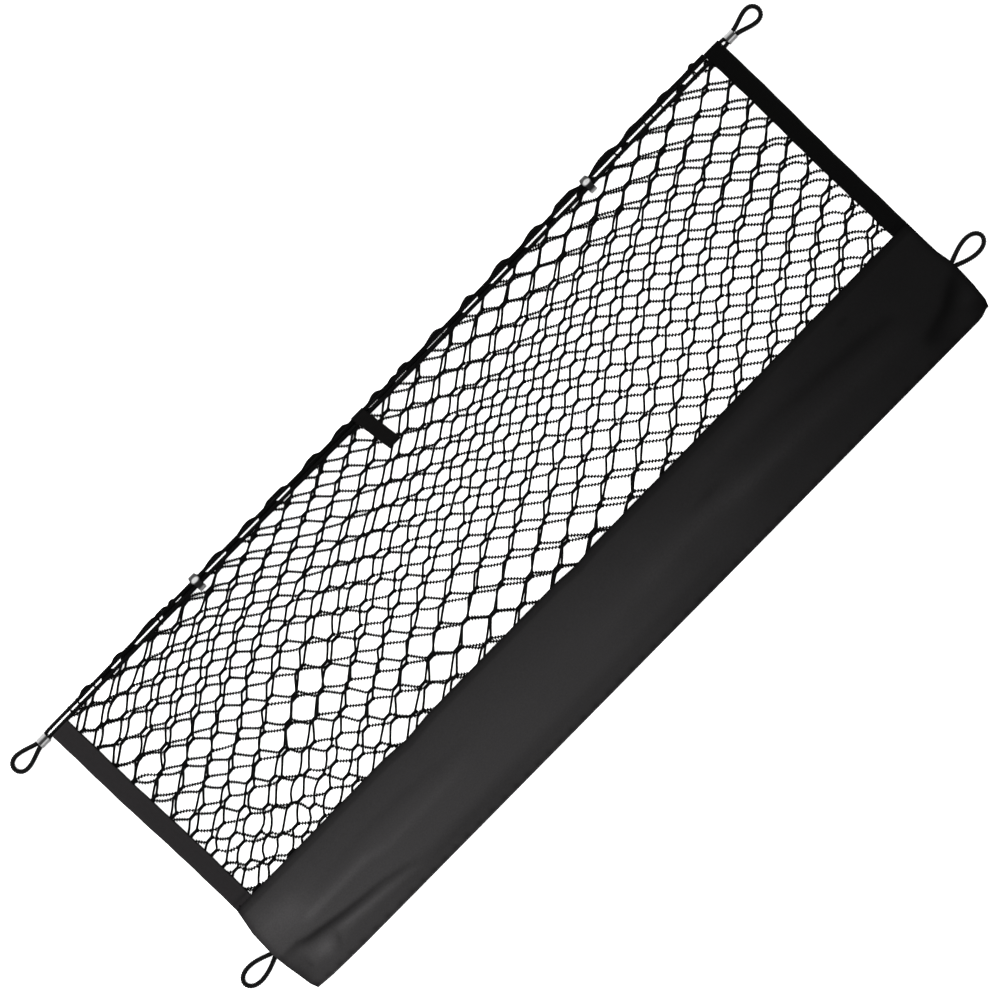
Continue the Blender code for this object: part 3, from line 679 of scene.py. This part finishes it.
# soft folds: points with their rise (a trough is below zero), and the half width on the side of
# the top edge and on the other side
softFolds = tableRows("line up down", (
    (((-447, -135.5, -1.2), (-427, -136, -1.8), (-416, -140.5, -2.4), (-401, -143.5, -2.5),
      (-376, -148, -2.2), (-352, -151, -1.7), (-332, -153, -1.3), (-312, -157.5, -1.1),
      (-288, -161, 0.0)), 3.0, 6.0),
    (((-408, -127, 0.3), (-400, -127, 1.5), (-326, -127, 1.3), (-302, -133, 0.8),
      (-230, -132, 0.5), (-190, -130, 0.0)), 4.8, 5.2),
    (((-392, -153, 0.4), (-379, -155.5, 1.9), (-343, -160, 1.7), (-310, -163.5, 1.4),
      (-297, -168, 0.8), (-285, -172, 0.0)), 3.2, 5.5),
    (((-392, -115, 0.0), (-380, -113.3, -0.2), (-310, -108.5, -0.4), (-252, -110, -0.5),
      (-210, -115, -0.3), (-160, -118, 0.0)), 5.0, 8.0),
    (((-430, -104, 0.9), (-408, -112, 1.1), (-395, -118, 0.3)), 16.0, 14.0),
    (((-421, -157, 0.8), (-409, -160, 1.3), (-402, -163, 0.5)), 8.0, 8.0),
    (((-393.5, -152, -0.4), (-396, -160, -1.2), (-402, -168, -0.4)), 2.5, 2.8),
    (((-433, -148, -0.5), (-432, -160, -0.9)), 2.5, 2.5),
    (((-300, -172, -0.2), (-240, -172, -0.6), (-160, -173, -0.2)), 6.0, 4.0),
    (((-60, -138, 0.0), (20, -134, 0.5), (130, -128, 0.9), (175, -134, 1.3), (230, -136, 1.2),
      (300, -139, 1.0), (360, -143, 0.7), (395, -147, 0.0)), 9.0, 8.0),
    (((120, -116, -0.2), (142, -115, -0.8), (160, -116, -0.2)), 4.0, 5.0),
    (((200, -108, 0.0), (240, -110, -0.6), (300, -114, -1.2), (345, -117, -1.4),
      (373, -121, -1.1), (388, -126, 0.0)), 7.0, 7.0),
    (((453, -131, -1.0), (441, -138, -2.2), (433, -143, -2.6), (422, -151, -2.5),
      (405, -156, -2.2), (392, -160, -1.7), (381, -165, 0.0)), 5.5, 9.5),
    (((340, -91, -0.8), (347, -91, -0.8)), 3.0, 3.0),
))
# painted sheen and painted shade: places where the cloth is paler or darker than around them
clothPaintedLightPatches = tableRows("x y reachX reachY gain", (
    (-412, -108, 28, 18, 0.12), (-412, -160, 9, 8, 0.18), (-443, -154, 9, 16, -0.30),
    (195, -92, 50, 9, 0.28), (175, -135, 45, 9, 0.15), (250, -158, 90, 12, -0.06),
    (441, -158, 8, 6, 0.20), (447, -173, 12, 9, -0.45), (398, -168, 16, 13, -0.22),
))
# painted shade on the cloth and painted sheen on the ridges: how much, up to which distance and
# over which length, or how wide
clothPaintedShadeAndSheen = {
    "hem": {"dark": 0.27, "upTo": 9.5, "over": 3.5},
    "hemEdge": {"dark": 0.20, "upTo": 5.5, "over": 5.0},
    "topLine": {"dark": 0.20, "half": 2.2},
    "underHem": {"dark": 0.42, "fade": 22.0, "leftOf": 290.0, "leftOver": 80.0},
    "overFold": {"dark": 0.19, "upTo": 27.0, "over": 14.0, "leftOf": 180.0, "leftOver": 120.0},
    "sides": {"dark": 0.45, "half": 4.5},
    "bottomLine": {"dark": 0.35, "half": 4.0},
    "scallops": {"dark": 0.30, "at": 3.0, "half": 3.0},
    "trough": 0.25, "ridge": 0.20,
}
# heights on the front flap: the ramp up over the nets, the cover over the loops' sewn roots,
# the hem, and the small puckers, creases and ripples
flapSettings = {"netRamp": (50.0, 42.0), "foldRamp": 14.0, "foldsOverNets": 0.8,
                "loopCover": 1.1, "coverLong": 1.35, "coverRamp": (36.0, 26.0),
                "hemDepth": 8.0, "hemPuff": 0.45, "pucker": 0.12, "crease": 0.16, "ripple": 0.22}


def nearLine(fold, x, y):
    # how near each place is to a fold's line, as a bell, and the line's rise there
    points = np.array(fold["line"], float)
    nearest = np.full(x.shape, np.inf)
    near, rise = np.zeros_like(x), np.zeros_like(x)
    for (ax, ay, a), (bx, by, b) in zip(points[:-1], points[1:]):
        length2 = (bx - ax) ** 2 + (by - ay) ** 2
        share = np.clip(((x - ax) * (bx - ax) + (y - ay) * (by - ay)) / length2, 0.0, 1.0)
        offX, offY = x - ax - share * (bx - ax), y - ay - share * (by - ay)
        away = np.hypot(offX, offY)
        half = lineAt(fold["down"], fold["up"], smoothStep(0.5 + 0.5 * offY / (away + 0.8)))
        closer = away < nearest
        nearest = np.where(closer, away, nearest)
        near = np.where(closer, bell(away / half), near)
        rise = np.where(closer, lineAt(a, b, share), rise)
    return near, rise


def nearPlace(place, x, y):
    # a bell with its own reach along x and y
    return bell(np.hypot((x - place["x"]) / place["reachX"], (y - place["y"]) / place["reachY"]))


def waver(x, pitch, swing, slowPitch):
    # a wave whose crests come now sooner and now later
    return np.sin(x / pitch + swing * np.sin(x / slowPitch))


def clothShade(x, y, bottom, top):
    # how pale the cloth is, as painted shade and sheen: darker along the hem, at its edges and down
    # in the creases, paler on the ridges
    w = clothPaintedShadeAndSheen
    fromTop, fromBottom = top - y, y - bottom
    left, right = readTable(leftEdge, "y", "x", y), readTable(rightEdge, "y", "x", y)

    def within(name, distance):
        return w[name]["dark"] * smoothStep((w[name]["upTo"] - distance) / w[name]["over"])

    def beside(name, distance):
        return w[name]["dark"] * bell(distance / w[name]["half"])

    def leftOf(name):
        return smoothStep((w[name]["leftOf"] - x) / w[name]["leftOver"])

    underHem = w["underHem"]["dark"] * np.exp(-fromTop / w["underHem"]["fade"])
    scallops = beside("scallops", fromBottom - w["scallops"]["at"])
    # painted shade along and under the hem, over the bottom fold, beside the edges and at the
    # stitch marks
    shade = (1.0 - within("hem", fromTop) - within("hemEdge", fromTop)
             - beside("topLine", fromTop))
    shade *= 1.0 - underHem * leftOf("underHem")
    shade *= 1.0 - within("overFold", fromBottom) * leftOf("overFold")
    shade *= 1.0 - beside("sides", np.minimum(x - left, right - x))
    shade *= 1.0 - beside("bottomLine", fromBottom)
    shade *= 1.0 - scallops * np.clip(waver(x, 2.45, 0.8, 23.0), 0.0, 1.0)
    # painted shade in the troughs of the soft folds and painted sheen on their ridges
    for fold in softFolds:
        near, rise = nearLine(fold, x, y)
        shade *= 1.0 + near * (w["trough"] * np.minimum(rise, 0.0)
                               + w["ridge"] * np.maximum(rise, 0.0))
    # painted sheen and painted shade in patches
    for patch in clothPaintedLightPatches:
        shade *= 1.0 + patch["gain"] * nearPlace(patch, x, y)
    return shade


def flapHeight(x, y, bottom, top):
    # low over the empty pocket, up over the nets' lower ends and the loops' sewn roots,
    # with its folds, the hem's soft roll along the top edge and small puckers where it is sewn
    f, e = flapSettings, elasticSettings
    fromTop, fromBottom = top - y, y - bottom
    rampFrom, rampOver = f["netRamp"]
    overNets = smoothStep((rampFrom - fromTop) / rampOver)
    z = lineAt(clothSettings["restZ"], layerZ["frontCloth"], overNets)
    for fold in softFolds:
        near, rise = nearLine(fold, x, y)
        fade = (1.0 - f["foldsOverNets"] * overNets) * smoothStep(fromBottom / f["foldRamp"])
        z = z + rise * near * fade
    lifted = e["rootZ"] + e["loopDiameter"] / 2 + f["loopCover"]
    coverFrom, coverOver = f["coverRamp"]
    for loop in bottomLoops:
        rootX = loop["side"] * (loop["exitX"] - e["sewnIn"] / 2)
        away = np.hypot((x - rootX) / f["coverLong"], y - loop["y"])
        z = np.maximum(z, lineAt(z, lifted, smoothStep((coverFrom - away) / coverOver)))
    hem = np.clip(1.0 - fromTop / f["hemDepth"], 0.0, 1.0)
    pucker = f["pucker"] * waver(x, 3.1, 1.3, 17.0) * bell((7.0 - fromTop) / 4.0)
    creases = f["crease"] * waver(x, 5.2, 2.0, 31.0) * bell((fromBottom - 5.0) / 6.0)
    ripple = f["ripple"] * np.sin(x / 27.0 + y / 19.0) * np.sin(y / 14.0 - x / 55.0)
    return z + f["hemPuff"] * np.sin(np.pi * hem) + pucker + creases + ripple * (1.0 - overNets)


def makeCloth(material):
    s, back = clothSettings, layerZ["backCloth"]
    share = np.linspace(0.0, 1.0, s["columns"])[:, None]
    xGuess = lineAt(*s["ends"], share)
    bottom = readTable(bottomFold, "x", "y", xGuess)
    top = readTable(topEdge, "x", "y", xGuess)
    radius = (s["restZ"] - back) / 2
    centre = bottom + s["thick"] / 2 + radius
    turn = np.pi * np.arange(1, s["foldSteps"]) / s["foldSteps"]
    backY = lineAt(top, centre, np.linspace(0.0, 1.0, s["backRows"]))
    turnY = centre - radius * np.sin(turn)
    frontY = lineAt(centre, top, np.linspace(0.0, 1.0, s["frontRows"]))
    y = np.concatenate([backY, turnY, frontY], axis=1)
    x = lineAt(readTable(leftEdge, "y", "x", y), readTable(rightEdge, "y", "x", y), share)
    frontX = x[:, -s["frontRows"]:]
    turnZ = (back + s["restZ"]) / 2 - radius * np.cos(turn)
    z = np.concatenate([np.full(backY.shape, back), np.broadcast_to(turnZ, turnY.shape),
                        flapHeight(frontX, frontY, centre, top)], axis=1)
    grid = stacked(x, y, z)[::-1] * mm
    made = putSurface("pocketCloth", grid, surfaceUv(grid), material)
    # the front flap's painted shade and sheen, kept as the 'shade' attribute
    shade = np.ones(grid.shape[:2])
    shade[:, -s["frontRows"]:] = clothShade(frontX, frontY, bottom, top)[::-1]
    made.data.attributes.new("shade", "FLOAT", "POINT").data.foreach_set("value", shade.ravel())
    addWall(made, s["thick"])
    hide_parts("pocket_cloth")


# Nets: each is a set of knitted yarns that zigzag along the length and share their joints
# with the yarns above and below, which makes hexagons. Each yarn goes down a ribbed strand
# and up a plain one.

netSettings = {
    "halfPitch": 22.7, "rowStep": 11.8, "originX": 93.0, "originY": 78.0,
    "firstHalfStep": -26, "pairs": 21, "firstYarn": -11, "lastYarn": 14,
    "joint": 8.1, "yarn": 2.3, "jointOffset": 0.5, "ribHeight": 1.15, "ribThick": 2.4,
    "ribThin": 1.0, "ribs": 7, "scatter": 0.45, "bow": 0.3, "sides": 6, "endY": -83.0,
    "underCord": 0.9, "inBinding": 5.0, "wave": 0.22, "topY": 163.0, "margin": 4,
}
# How far each net is pulled from an even one, in mm along x and y, at every sixth half step
# from the 22nd left of the origin and every fifth row from the ninth above it
pullSteps = {"firstHalfStep": -22, "halfSteps": 6, "firstRow": -9, "rows": 5}
netLayers = (
    {"name": "netFront", "node": "net_front", "z": layerZ["frontNet"], "seed": 3, "turn": 0.0,
     "pullX": ((-9, -2, -3, -8, -10, -10, -4),
               (-6, -4, -4, -6, -7, -3, -1),
               (3, -2, -4, -3, -1, -1, -2),
               (7, 5, 3, 4, 5, 3, 6),
               (11, 9, 9, 13, 16, 15, 14)),
     "pullY": ((-13, -12, -12, -10, -8, -3, 6),
               (-9, 2, -5, -4, 1, 8, 5),
               (-11, 2, 2, 1, 7, 10, 0),
               (-15, -7, -3, -4, 1, 0, -2),
               (-20, -17, -13, -13, -14, -13, -10))},
    {"name": "netBack", "node": "net_back", "z": layerZ["backNet"], "seed": 8, "turn": 4.0,
     "pullX": ((24, 19, 13, 2, -6, -8, -9),
               (21, 15, 8, 1, -5, -5, -6),
               (21, 11, 1, -2, -2, -4, -6),
               (15, 0, -10, -6, -2, 0, 0),
               (-4, -20, -23, -13, 0, 10, 14)),
     "pullY": ((-3, -1, -3, -4, -2, 1, 5),
               (-1, 5, -2, -9, -4, 4, 1),
               (0, 5, -5, -11, -5, 0, -4),
               (-3, -7, -14, -15, -14, -12, -9),
               (-12, -22, -26, -24, -25, -23, -17))},
)
# where the strands hang slack: the extra bow either way, and the bow that the ribbed and the
# plain strands have in common there
slackPlaces = tableRows("x y reachX reachY bow ribbed plain", (
    (-385.0, -45.0, 75.0, 40.0, 1.3, -0.4, 0.6),
    (418.0, -5.0, 36.0, 100.0, 0.9, 2.5, -1.3),
    (-425.0, 90.0, 25.0, 90.0, 0.9, 0.0, 0.0),
))


def cubicShares(place, count):
    # which four lines of a table a place lies between, and how much each one counts
    start = np.clip(np.floor(place), 0, count - 2).astype(int)
    t = np.clip(place - start, 0.0, 1.0)
    share = 0.5 * stacked(-t**3 + 2 * t**2 - t, 3 * t**3 - 5 * t**2 + 2,
                          -3 * t**3 + 4 * t**2 + t, t**3 - t**2)
    return start[..., None] + np.arange(4), share


def tableAt(table, row, column):
    # a smooth surface through the table's values, carried on straight for one line past its edge
    values = np.pad(np.array(table, float), 1, mode="reflect", reflect_type="odd")
    rows, rowShare = cubicShares(row, len(table))
    columns, columnShare = cubicShares(column, len(table[0]))
    picked = values[rows[..., :, None], columns[..., None, :]]
    return np.einsum("...i,...j,...ij->...", rowShare, columnShare, picked)


def jointPlace(halfStep, row, layer, stray):
    # an even lattice, pulled by the layer's two tables, and a little stray
    s, p = netSettings, pullSteps
    halfStep, row = np.broadcast_arrays(halfStep, row)
    tableRow = (row - p["firstRow"]) / p["rows"]
    tableColumn = (halfStep - p["firstHalfStep"]) / p["halfSteps"]
    x = s["originX"] + s["halfPitch"] * halfStep + tableAt(layer["pullX"], tableRow, tableColumn)
    y = s["originY"] - s["rowStep"] * row + tableAt(layer["pullY"], tableRow, tableColumn)
    pick = (row - s["firstYarn"] + s["margin"], halfStep - s["firstHalfStep"] + s["margin"])
    return stacked(x, y) + stray[pick]


def slackBows(x, y, random):
    # the sideways bow of each ribbed and each plain strand
    both = np.zeros((2, *x.shape))
    spread = np.full(x.shape, netSettings["bow"])
    for place in slackPlaces:
        near = nearPlace(place, x, y)
        spread += place["bow"] * near
        both += np.array([place["ribbed"], place["plain"]])[:, None, None] * near
    return both + random.normal(0.0, 1.0, both.shape) * spread


def jointEnds(halfStep, row, offset, layer, stray):
    # a joint lies along its row, from the joint before to the one after; the yarn lies beside
    # its neighbour there, by the offset
    centre = jointPlace(halfStep, row, layer, stray)
    after, before = (jointPlace(halfStep + way, row, layer, stray) for way in (2, -2))
    across = after - before
    turn = np.arctan2(across[..., 1], across[..., 0]) + math.radians(layer["turn"])
    along, beside = stacked(np.cos(turn), np.sin(turn)), stacked(-np.sin(turn), np.cos(turn))
    centre = centre + beside * offset
    half = netSettings["joint"] / 2
    return centre - along * half, centre + along * half


def strandPoints(start, end, share, bow, ribs):
    # from start to end, bowed to one side by a half sine, with ribs to both sides in turn
    step = (end - start)[..., None, :]
    side = stacked(-step[..., 1], step[..., 0])
    side = side / np.linalg.norm(side, axis=-1, keepdims=True)
    shift = bow[..., None] * np.sin(np.pi * share) + ribs
    return start[..., None, :] + step * share[:, None] + side * shift[..., None]


def netPaths(layer):
    # each yarn: upper joint, ribbed strand down, lower joint, plain strand up, and so on
    s = netSettings
    random = np.random.default_rng(layer["seed"])
    rows = s["lastYarn"] - s["firstYarn"] + 2 * s["margin"] + 1
    halfSteps = 2 * s["pairs"] + 2 * s["margin"] + 4
    stray = random.normal(0.0, s["scatter"], (rows, halfSteps, 2))
    yarn = np.arange(s["firstYarn"], s["lastYarn"])[:, None]
    upper = s["firstHalfStep"] + yarn % 2 + 2 * np.arange(s["pairs"])[None, :]
    upperStart, upperEnd = jointEnds(upper, yarn, -s["jointOffset"], layer, stray)
    lowerStart, lowerEnd = jointEnds(upper + 1, yarn + 1, s["jointOffset"], layer, stray)
    nextUpper, _ = jointEnds(upper + 2, yarn, -s["jointOffset"], layer, stray)
    bows = slackBows(upperEnd[..., 0], upperEnd[..., 1], random)
    straight = np.zeros(upper.shape)
    jointShare = np.array([0.0, 0.15, 0.85, 1.0])
    plainShare = np.array([0.07, 0.35, 0.65, 0.93])
    # each rib is a thick stroke from one side to the other, and a thin way back
    ribShare = (np.arange(s["ribs"])[:, None] + np.array([0.15, 0.55, 0.85])) / s["ribs"]
    ribs = s["ribHeight"] * np.tile([-1.0, 1.0, 0.0], s["ribs"])
    ribThick = [s["ribThick"], s["ribThick"], s["ribThin"]] * s["ribs"]
    parts = [strandPoints(upperStart, upperEnd, jointShare, straight, 0.0),
             strandPoints(upperEnd, lowerStart, ribShare.ravel(), bows[0], ribs),
             strandPoints(lowerStart, lowerEnd, jointShare, straight, 0.0),
             strandPoints(lowerEnd, nextUpper, plainShare, bows[1], 0.0)]
    flat = np.concatenate(parts, axis=2)
    thick = [s["yarn"]] * 4 + ribThick + [s["yarn"]] * 8
    ends = np.cumsum([0] + [part.shape[2] for part in parts])
    corner = np.zeros(flat.shape[2], bool)
    corner[[ends[0], ends[1] - 1, ends[2], ends[3] - 1]] = True  # where a joint starts or ends
    corner = np.tile(corner, s["pairs"])
    flat = flat.reshape(len(yarn), -1, 2)
    rounded = flat.copy()
    rounded[:, 1:-1] = 0.5 * flat[:, 1:-1] + 0.25 * (flat[:, :-2] + flat[:, 2:])
    flat = np.where(corner[:, None], rounded, flat)
    return flat, np.tile(thick, s["pairs"]) / 2, yarn


def holdInside(flat, yarn):
    # the net ends inside the bindings, under the cord and in the pocket
    s = netSettings
    y = np.minimum(flat[..., 1], runY("lower", flat[..., 0]) - s["underCord"])
    y = np.maximum(y, s["endY"] + 0.1 * yarn)
    left = bindingEdges(bindings[0], y)[0] + s["inBinding"]
    right = bindingEdges(bindings[1], y)[0] - s["inBinding"]
    return stacked(np.clip(flat[..., 0], left, right), y)


# The nets' edge yarns: the front one lies along the elastic's upper run and stands over it in
# humps; the back one fills the slit between the runs, and leaves it where light shows through.
# Single strands tie across the slit.
edgeSettings = {"frontEnds": (-411.0, 431.0), "frontThin": 1.1, "overlap": 0.9, "spacing": 1.0,
                "backEnds": (-421.0, 431.0), "backThick": 2.4, "slitShift": 2.5, "sides": 8,
                "underClip": (3.0, 6.0), "lowAtClip": (0.8, 7.0)}
tieSettings = {"thick": 1.7, "sides": 6, "points": 9, "reach": 2.2, "upperReach": 1.6,
               "rise": 2.5, "square": 6}
# how far the front yarn stands over the run's edge all along, and in each hump; up and down are
# the lengths over which a hump rises and falls
edgeRise = {"x": (-411, -330, -280, -240, -200, -140, -80, -50, 0, 80, 135, 165, 200, 230, 260,
                  316, 338, 360, 400, 431),
            "over": (-0.3, -0.35, -0.35, -0.5, -0.85, -0.7, -0.35, 0.1, 0.75, 0.4, 0.6, 0.45,
                     0.4, 0.2, 0.6, 0.8, 2.85, 2.7, 2.15, 2.6)}
edgeHumps = tableRows("from to over up down", (
    (-408, -390, 2.6, 9, 6), (-364, -346, 2.1, 7, 8), (-337, -300, 2.3, 24, 8),
    (-307, -288, 2.0, 6, 5), (-288, -279, 1.7, 4, 3), (-245, -212, 2.7, 20, 11),
    (-201, -169, 3.0, 19, 10), (-163, -128, 3.0, 11, 8), (-113, -85, 3.1, 15, 8),
    (-74, -48, 2.6, 14, 6), (-24, -3, 2.9, 12, 8), (3, 18, 1.6, 8, 7), (14, 34, 2.8, 9, 7),
    (51, 79, 3.1, 18, 10), (98, 122, 3.6, 15, 9), (138, 169, 3.5, 18, 10),
    (182, 213, 3.1, 18, 9), (224, 261, 3.1, 10, 11), (273, 315, 3.2, 22, 14),
    (320, 343, 1.3, 10, 12), (367, 385, 1.4, 6, 9), (410, 419, 2.0, 4, 4),
))
# how far the back yarn opens the slit: 1 leaves it clear
lightSlits = tableRows("from to open", (
    (-421, -380.5, 1.0), (-367, -354.5, 1.0), (-335.5, -298.5, 1.0), (-281, -273, 0.35),
    (-240.5, -214, 1.0), (-195.5, -170.5, 1.0), (-146.5, -129, 1.0), (-24.5, -11.5, 0.33),
    (10, 25.5, 0.33), (53, 81, 0.36), (101, 121.5, 1.0), (138.5, 161.5, 1.0), (186, 214, 1.0),
    (224.5, 254.5, 1.0), (277.5, 315, 1.0), (322.5, 388.5, 1.0), (398, 425.5, 1.0),
))
# where strands cross the slit, and how far they lean
ties = tableRows("x lean", (
    (-421.3, 0.5), (-411.0, 1.5), (-389.6, -1.0), (-303.2, 1.0), (73.5, 2.0), (306.7, -1.0),
    (346.3, 1.0), (356.0, -0.5), (368.8, 1.0), (392.0, 5.0), (411.0, 1.5), (413.0, -1.0),
))


def frontEdge():
    # the yarn reaches from a little inside the run's edge to the hump's top, so it is thicker in
    # a hump, and rolls round the run: height = root of (touching distance squared - aside squared)
    e = edgeSettings
    x = np.arange(*e["frontEnds"], e["spacing"])
    rise = np.zeros_like(x)
    for hump in edgeHumps:
        swell = (smoothStep((x - hump["from"]) / hump["up"])
                 * smoothStep((hump["to"] - x) / hump["down"]))
        rise = np.maximum(rise, hump["over"] * swell)
    over = readTable(edgeRise, "x", "over", x) + rise
    for clip in clips:  # drawn in under the clip
        over -= e["underClip"][0] * bell((x - clip["x"]) / e["underClip"][1])
    cord = elasticSettings["diameter"] / 2
    run = runY("upper", x)
    radius = np.maximum((over + e["overlap"]) / 2, e["frontThin"])
    y = run + cord + over - radius
    height = np.sqrt(np.maximum((cord + radius) ** 2 - (y - run) ** 2, 0.0))
    for clip in clips:
        height *= 1.0 - e["lowAtClip"][0] * bell((x - clip["x"]) / e["lowAtClip"][1])
    path = stacked(x, y, layerZ["middle"] + height)
    return tubeParts(path[None] * mm, radius[None] * mm, e["sides"])


def backEdge():
    e = edgeSettings
    x = np.arange(*e["backEnds"], e["spacing"])
    shift = np.zeros_like(x)
    for slit in lightSlits:
        inside = smoothStep(np.minimum(x - slit["from"] + 1.0, slit["to"] + 1.0 - x) / 2.0)
        shift = np.minimum(shift, -e["slitShift"] * slit["open"] * inside)
    lower = runY("lower", x)
    y = (runY("upper", x) + lower) / 2 + shift
    touch = (elasticSettings["diameter"] + e["backThick"]) / 2
    height = np.sqrt(np.maximum(touch**2 - (y - lower) ** 2, 0.0))
    height = np.minimum(height, layerZ["middle"] - e["backThick"] / 2)
    path = stacked(x, y, layerZ["middle"] - height)
    return tubeParts(path[None] * mm, e["backThick"] / 2 * mm, e["sides"])


def tieStrands():
    # an arch from the lower run's far side over both runs
    t = tieSettings
    share = np.linspace(0.0, 1.0, t["points"])
    z = layerZ["middle"] + t["rise"] * np.sqrt(1.0 - (2.0 * share - 1.0) ** t["square"])
    paths = []
    for tie in ties:
        low = runY("lower", tie["x"]) - t["reach"]
        high = runY("upper", tie["x"]) + t["upperReach"]
        x = tie["x"] + tie["lean"] * (share - 0.5)
        paths.append(stacked(x, lineAt(low, high, share), z))
    return tubeParts(np.array(paths) * mm, t["thick"] / 2 * mm, t["sides"])


def makeNet(layer, material):
    s = netSettings
    flat, radius, yarn = netPaths(layer)
    # only the yarns that come out of the pocket and stay under the cord
    keep = (flat[..., 1].max(axis=1) > s["endY"] + 4.0) & (flat[..., 1].min(axis=1) < s["topY"])
    flat = holdInside(flat, yarn)
    height = layer["z"] + s["wave"] * np.sin(flat[..., 0] / 9.0 + 1.7 * yarn)
    paths = np.concatenate([flat, height[..., None]], axis=-1)[keep] * mm
    # where the clamping has put points together, they are spread a hair along x
    paths[..., 0] += 0.002 * mm * np.arange(paths.shape[1])
    radius = np.broadcast_to(radius, paths.shape[:2]) * mm
    edge = [frontEdge(), tieStrands()] if layer["name"] == "netFront" else [backEdge()]
    made = putTubes(layer["name"], [tubeParts(paths, radius, s["sides"]), *edge], material)
    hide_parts(layer["node"])
    print(f"{layer['name']}: {keep.sum()} yarns")


# Lights, floor and the order of making


stageSettings = {"half": 8.0, "z": -0.0004, "floor": (0.93, 0.93, 0.93, 1.0), "rough": 0.95,
                 "gloss": 0.1, "world": 0.85}
lights = (
    {"name": "overhead", "kind": "SUN", "place": (0.0, 0.0, 3.0), "energy": 3.0,
     "more": {"angle": math.radians(12.0)}},
    {"name": "side", "kind": "AREA", "place": (-1.1, 1.5, 1.1), "energy": 70.0,
     "more": {"shape": "SQUARE", "size": 1.2}},
)


def makeStage(settings):
    half, z = settings["half"], settings["z"]
    mesh = bpy.data.meshes.new("floor")
    mesh.from_pydata([(-half, -half, z), (half, -half, z), (half, half, z), (-half, half, z)],
                     [], [(0, 1, 2, 3)])
    material, _, shader = newMaterial("pale floor", settings)
    fill(shader, {"Base Color": settings["floor"]})
    mesh.materials.append(material)
    addObject("floor", mesh)
    world = bpy.data.worlds.new("studio")
    world.use_nodes = True
    background = {"Color": (1.0, 1.0, 1.0, 1.0), "Strength": settings["world"]}
    fill(world.node_tree.nodes["Background"], background)
    bpy.context.scene.world = world
    bpy.context.scene.view_settings.view_transform = "Standard"


def addLight(light):
    # aimed at the middle of the net
    data = bpy.data.lights.new(light["name"], light["kind"])
    data.energy = light["energy"]
    for key, value in light["more"].items():
        setattr(data, key, value)
    made = addObject(light["name"], data)
    made.location = light["place"]
    made.rotation_euler = (-Vector(light["place"])).to_track_quat("-Z", "Y").to_euler()
    made.visible_glossy = False  # the metal mirrors only the pale room


addCamera(cameraSettings)
makeElastic(elasticMaterial(elasticLook))

# the fittings' base colour carries their painted reflection
crimpSteel = steelMaterial("plated steel crimps", steelLook, crimpPaintedReflection)
clipSteel = steelMaterial("plated steel clips", steelLook, clipPaintedReflection)
for corner in corners:
    makeCrimp(corner, crimpSteel)
for clip in clips:
    makeClip(clip, clipSteel)
print("crimps and clips made")

netYarn = yarnMaterial(yarnLook)
for layer in netLayers:
    makeNet(layer, netYarn)

makeCloth(clothMaterial(clothLook))
print("pocket cloth made")

for binding in bindings:
    makeBinding(binding, tapeMaterial(binding["tape"], tapeLook, binding["colour"]))
makeStrap(tapeMaterial("strap tape", tapeLook, strapSettings["colour"]))
print("bindings and strap made")

makeStage(stageSettings)
for light in lights:
    addLight(light)
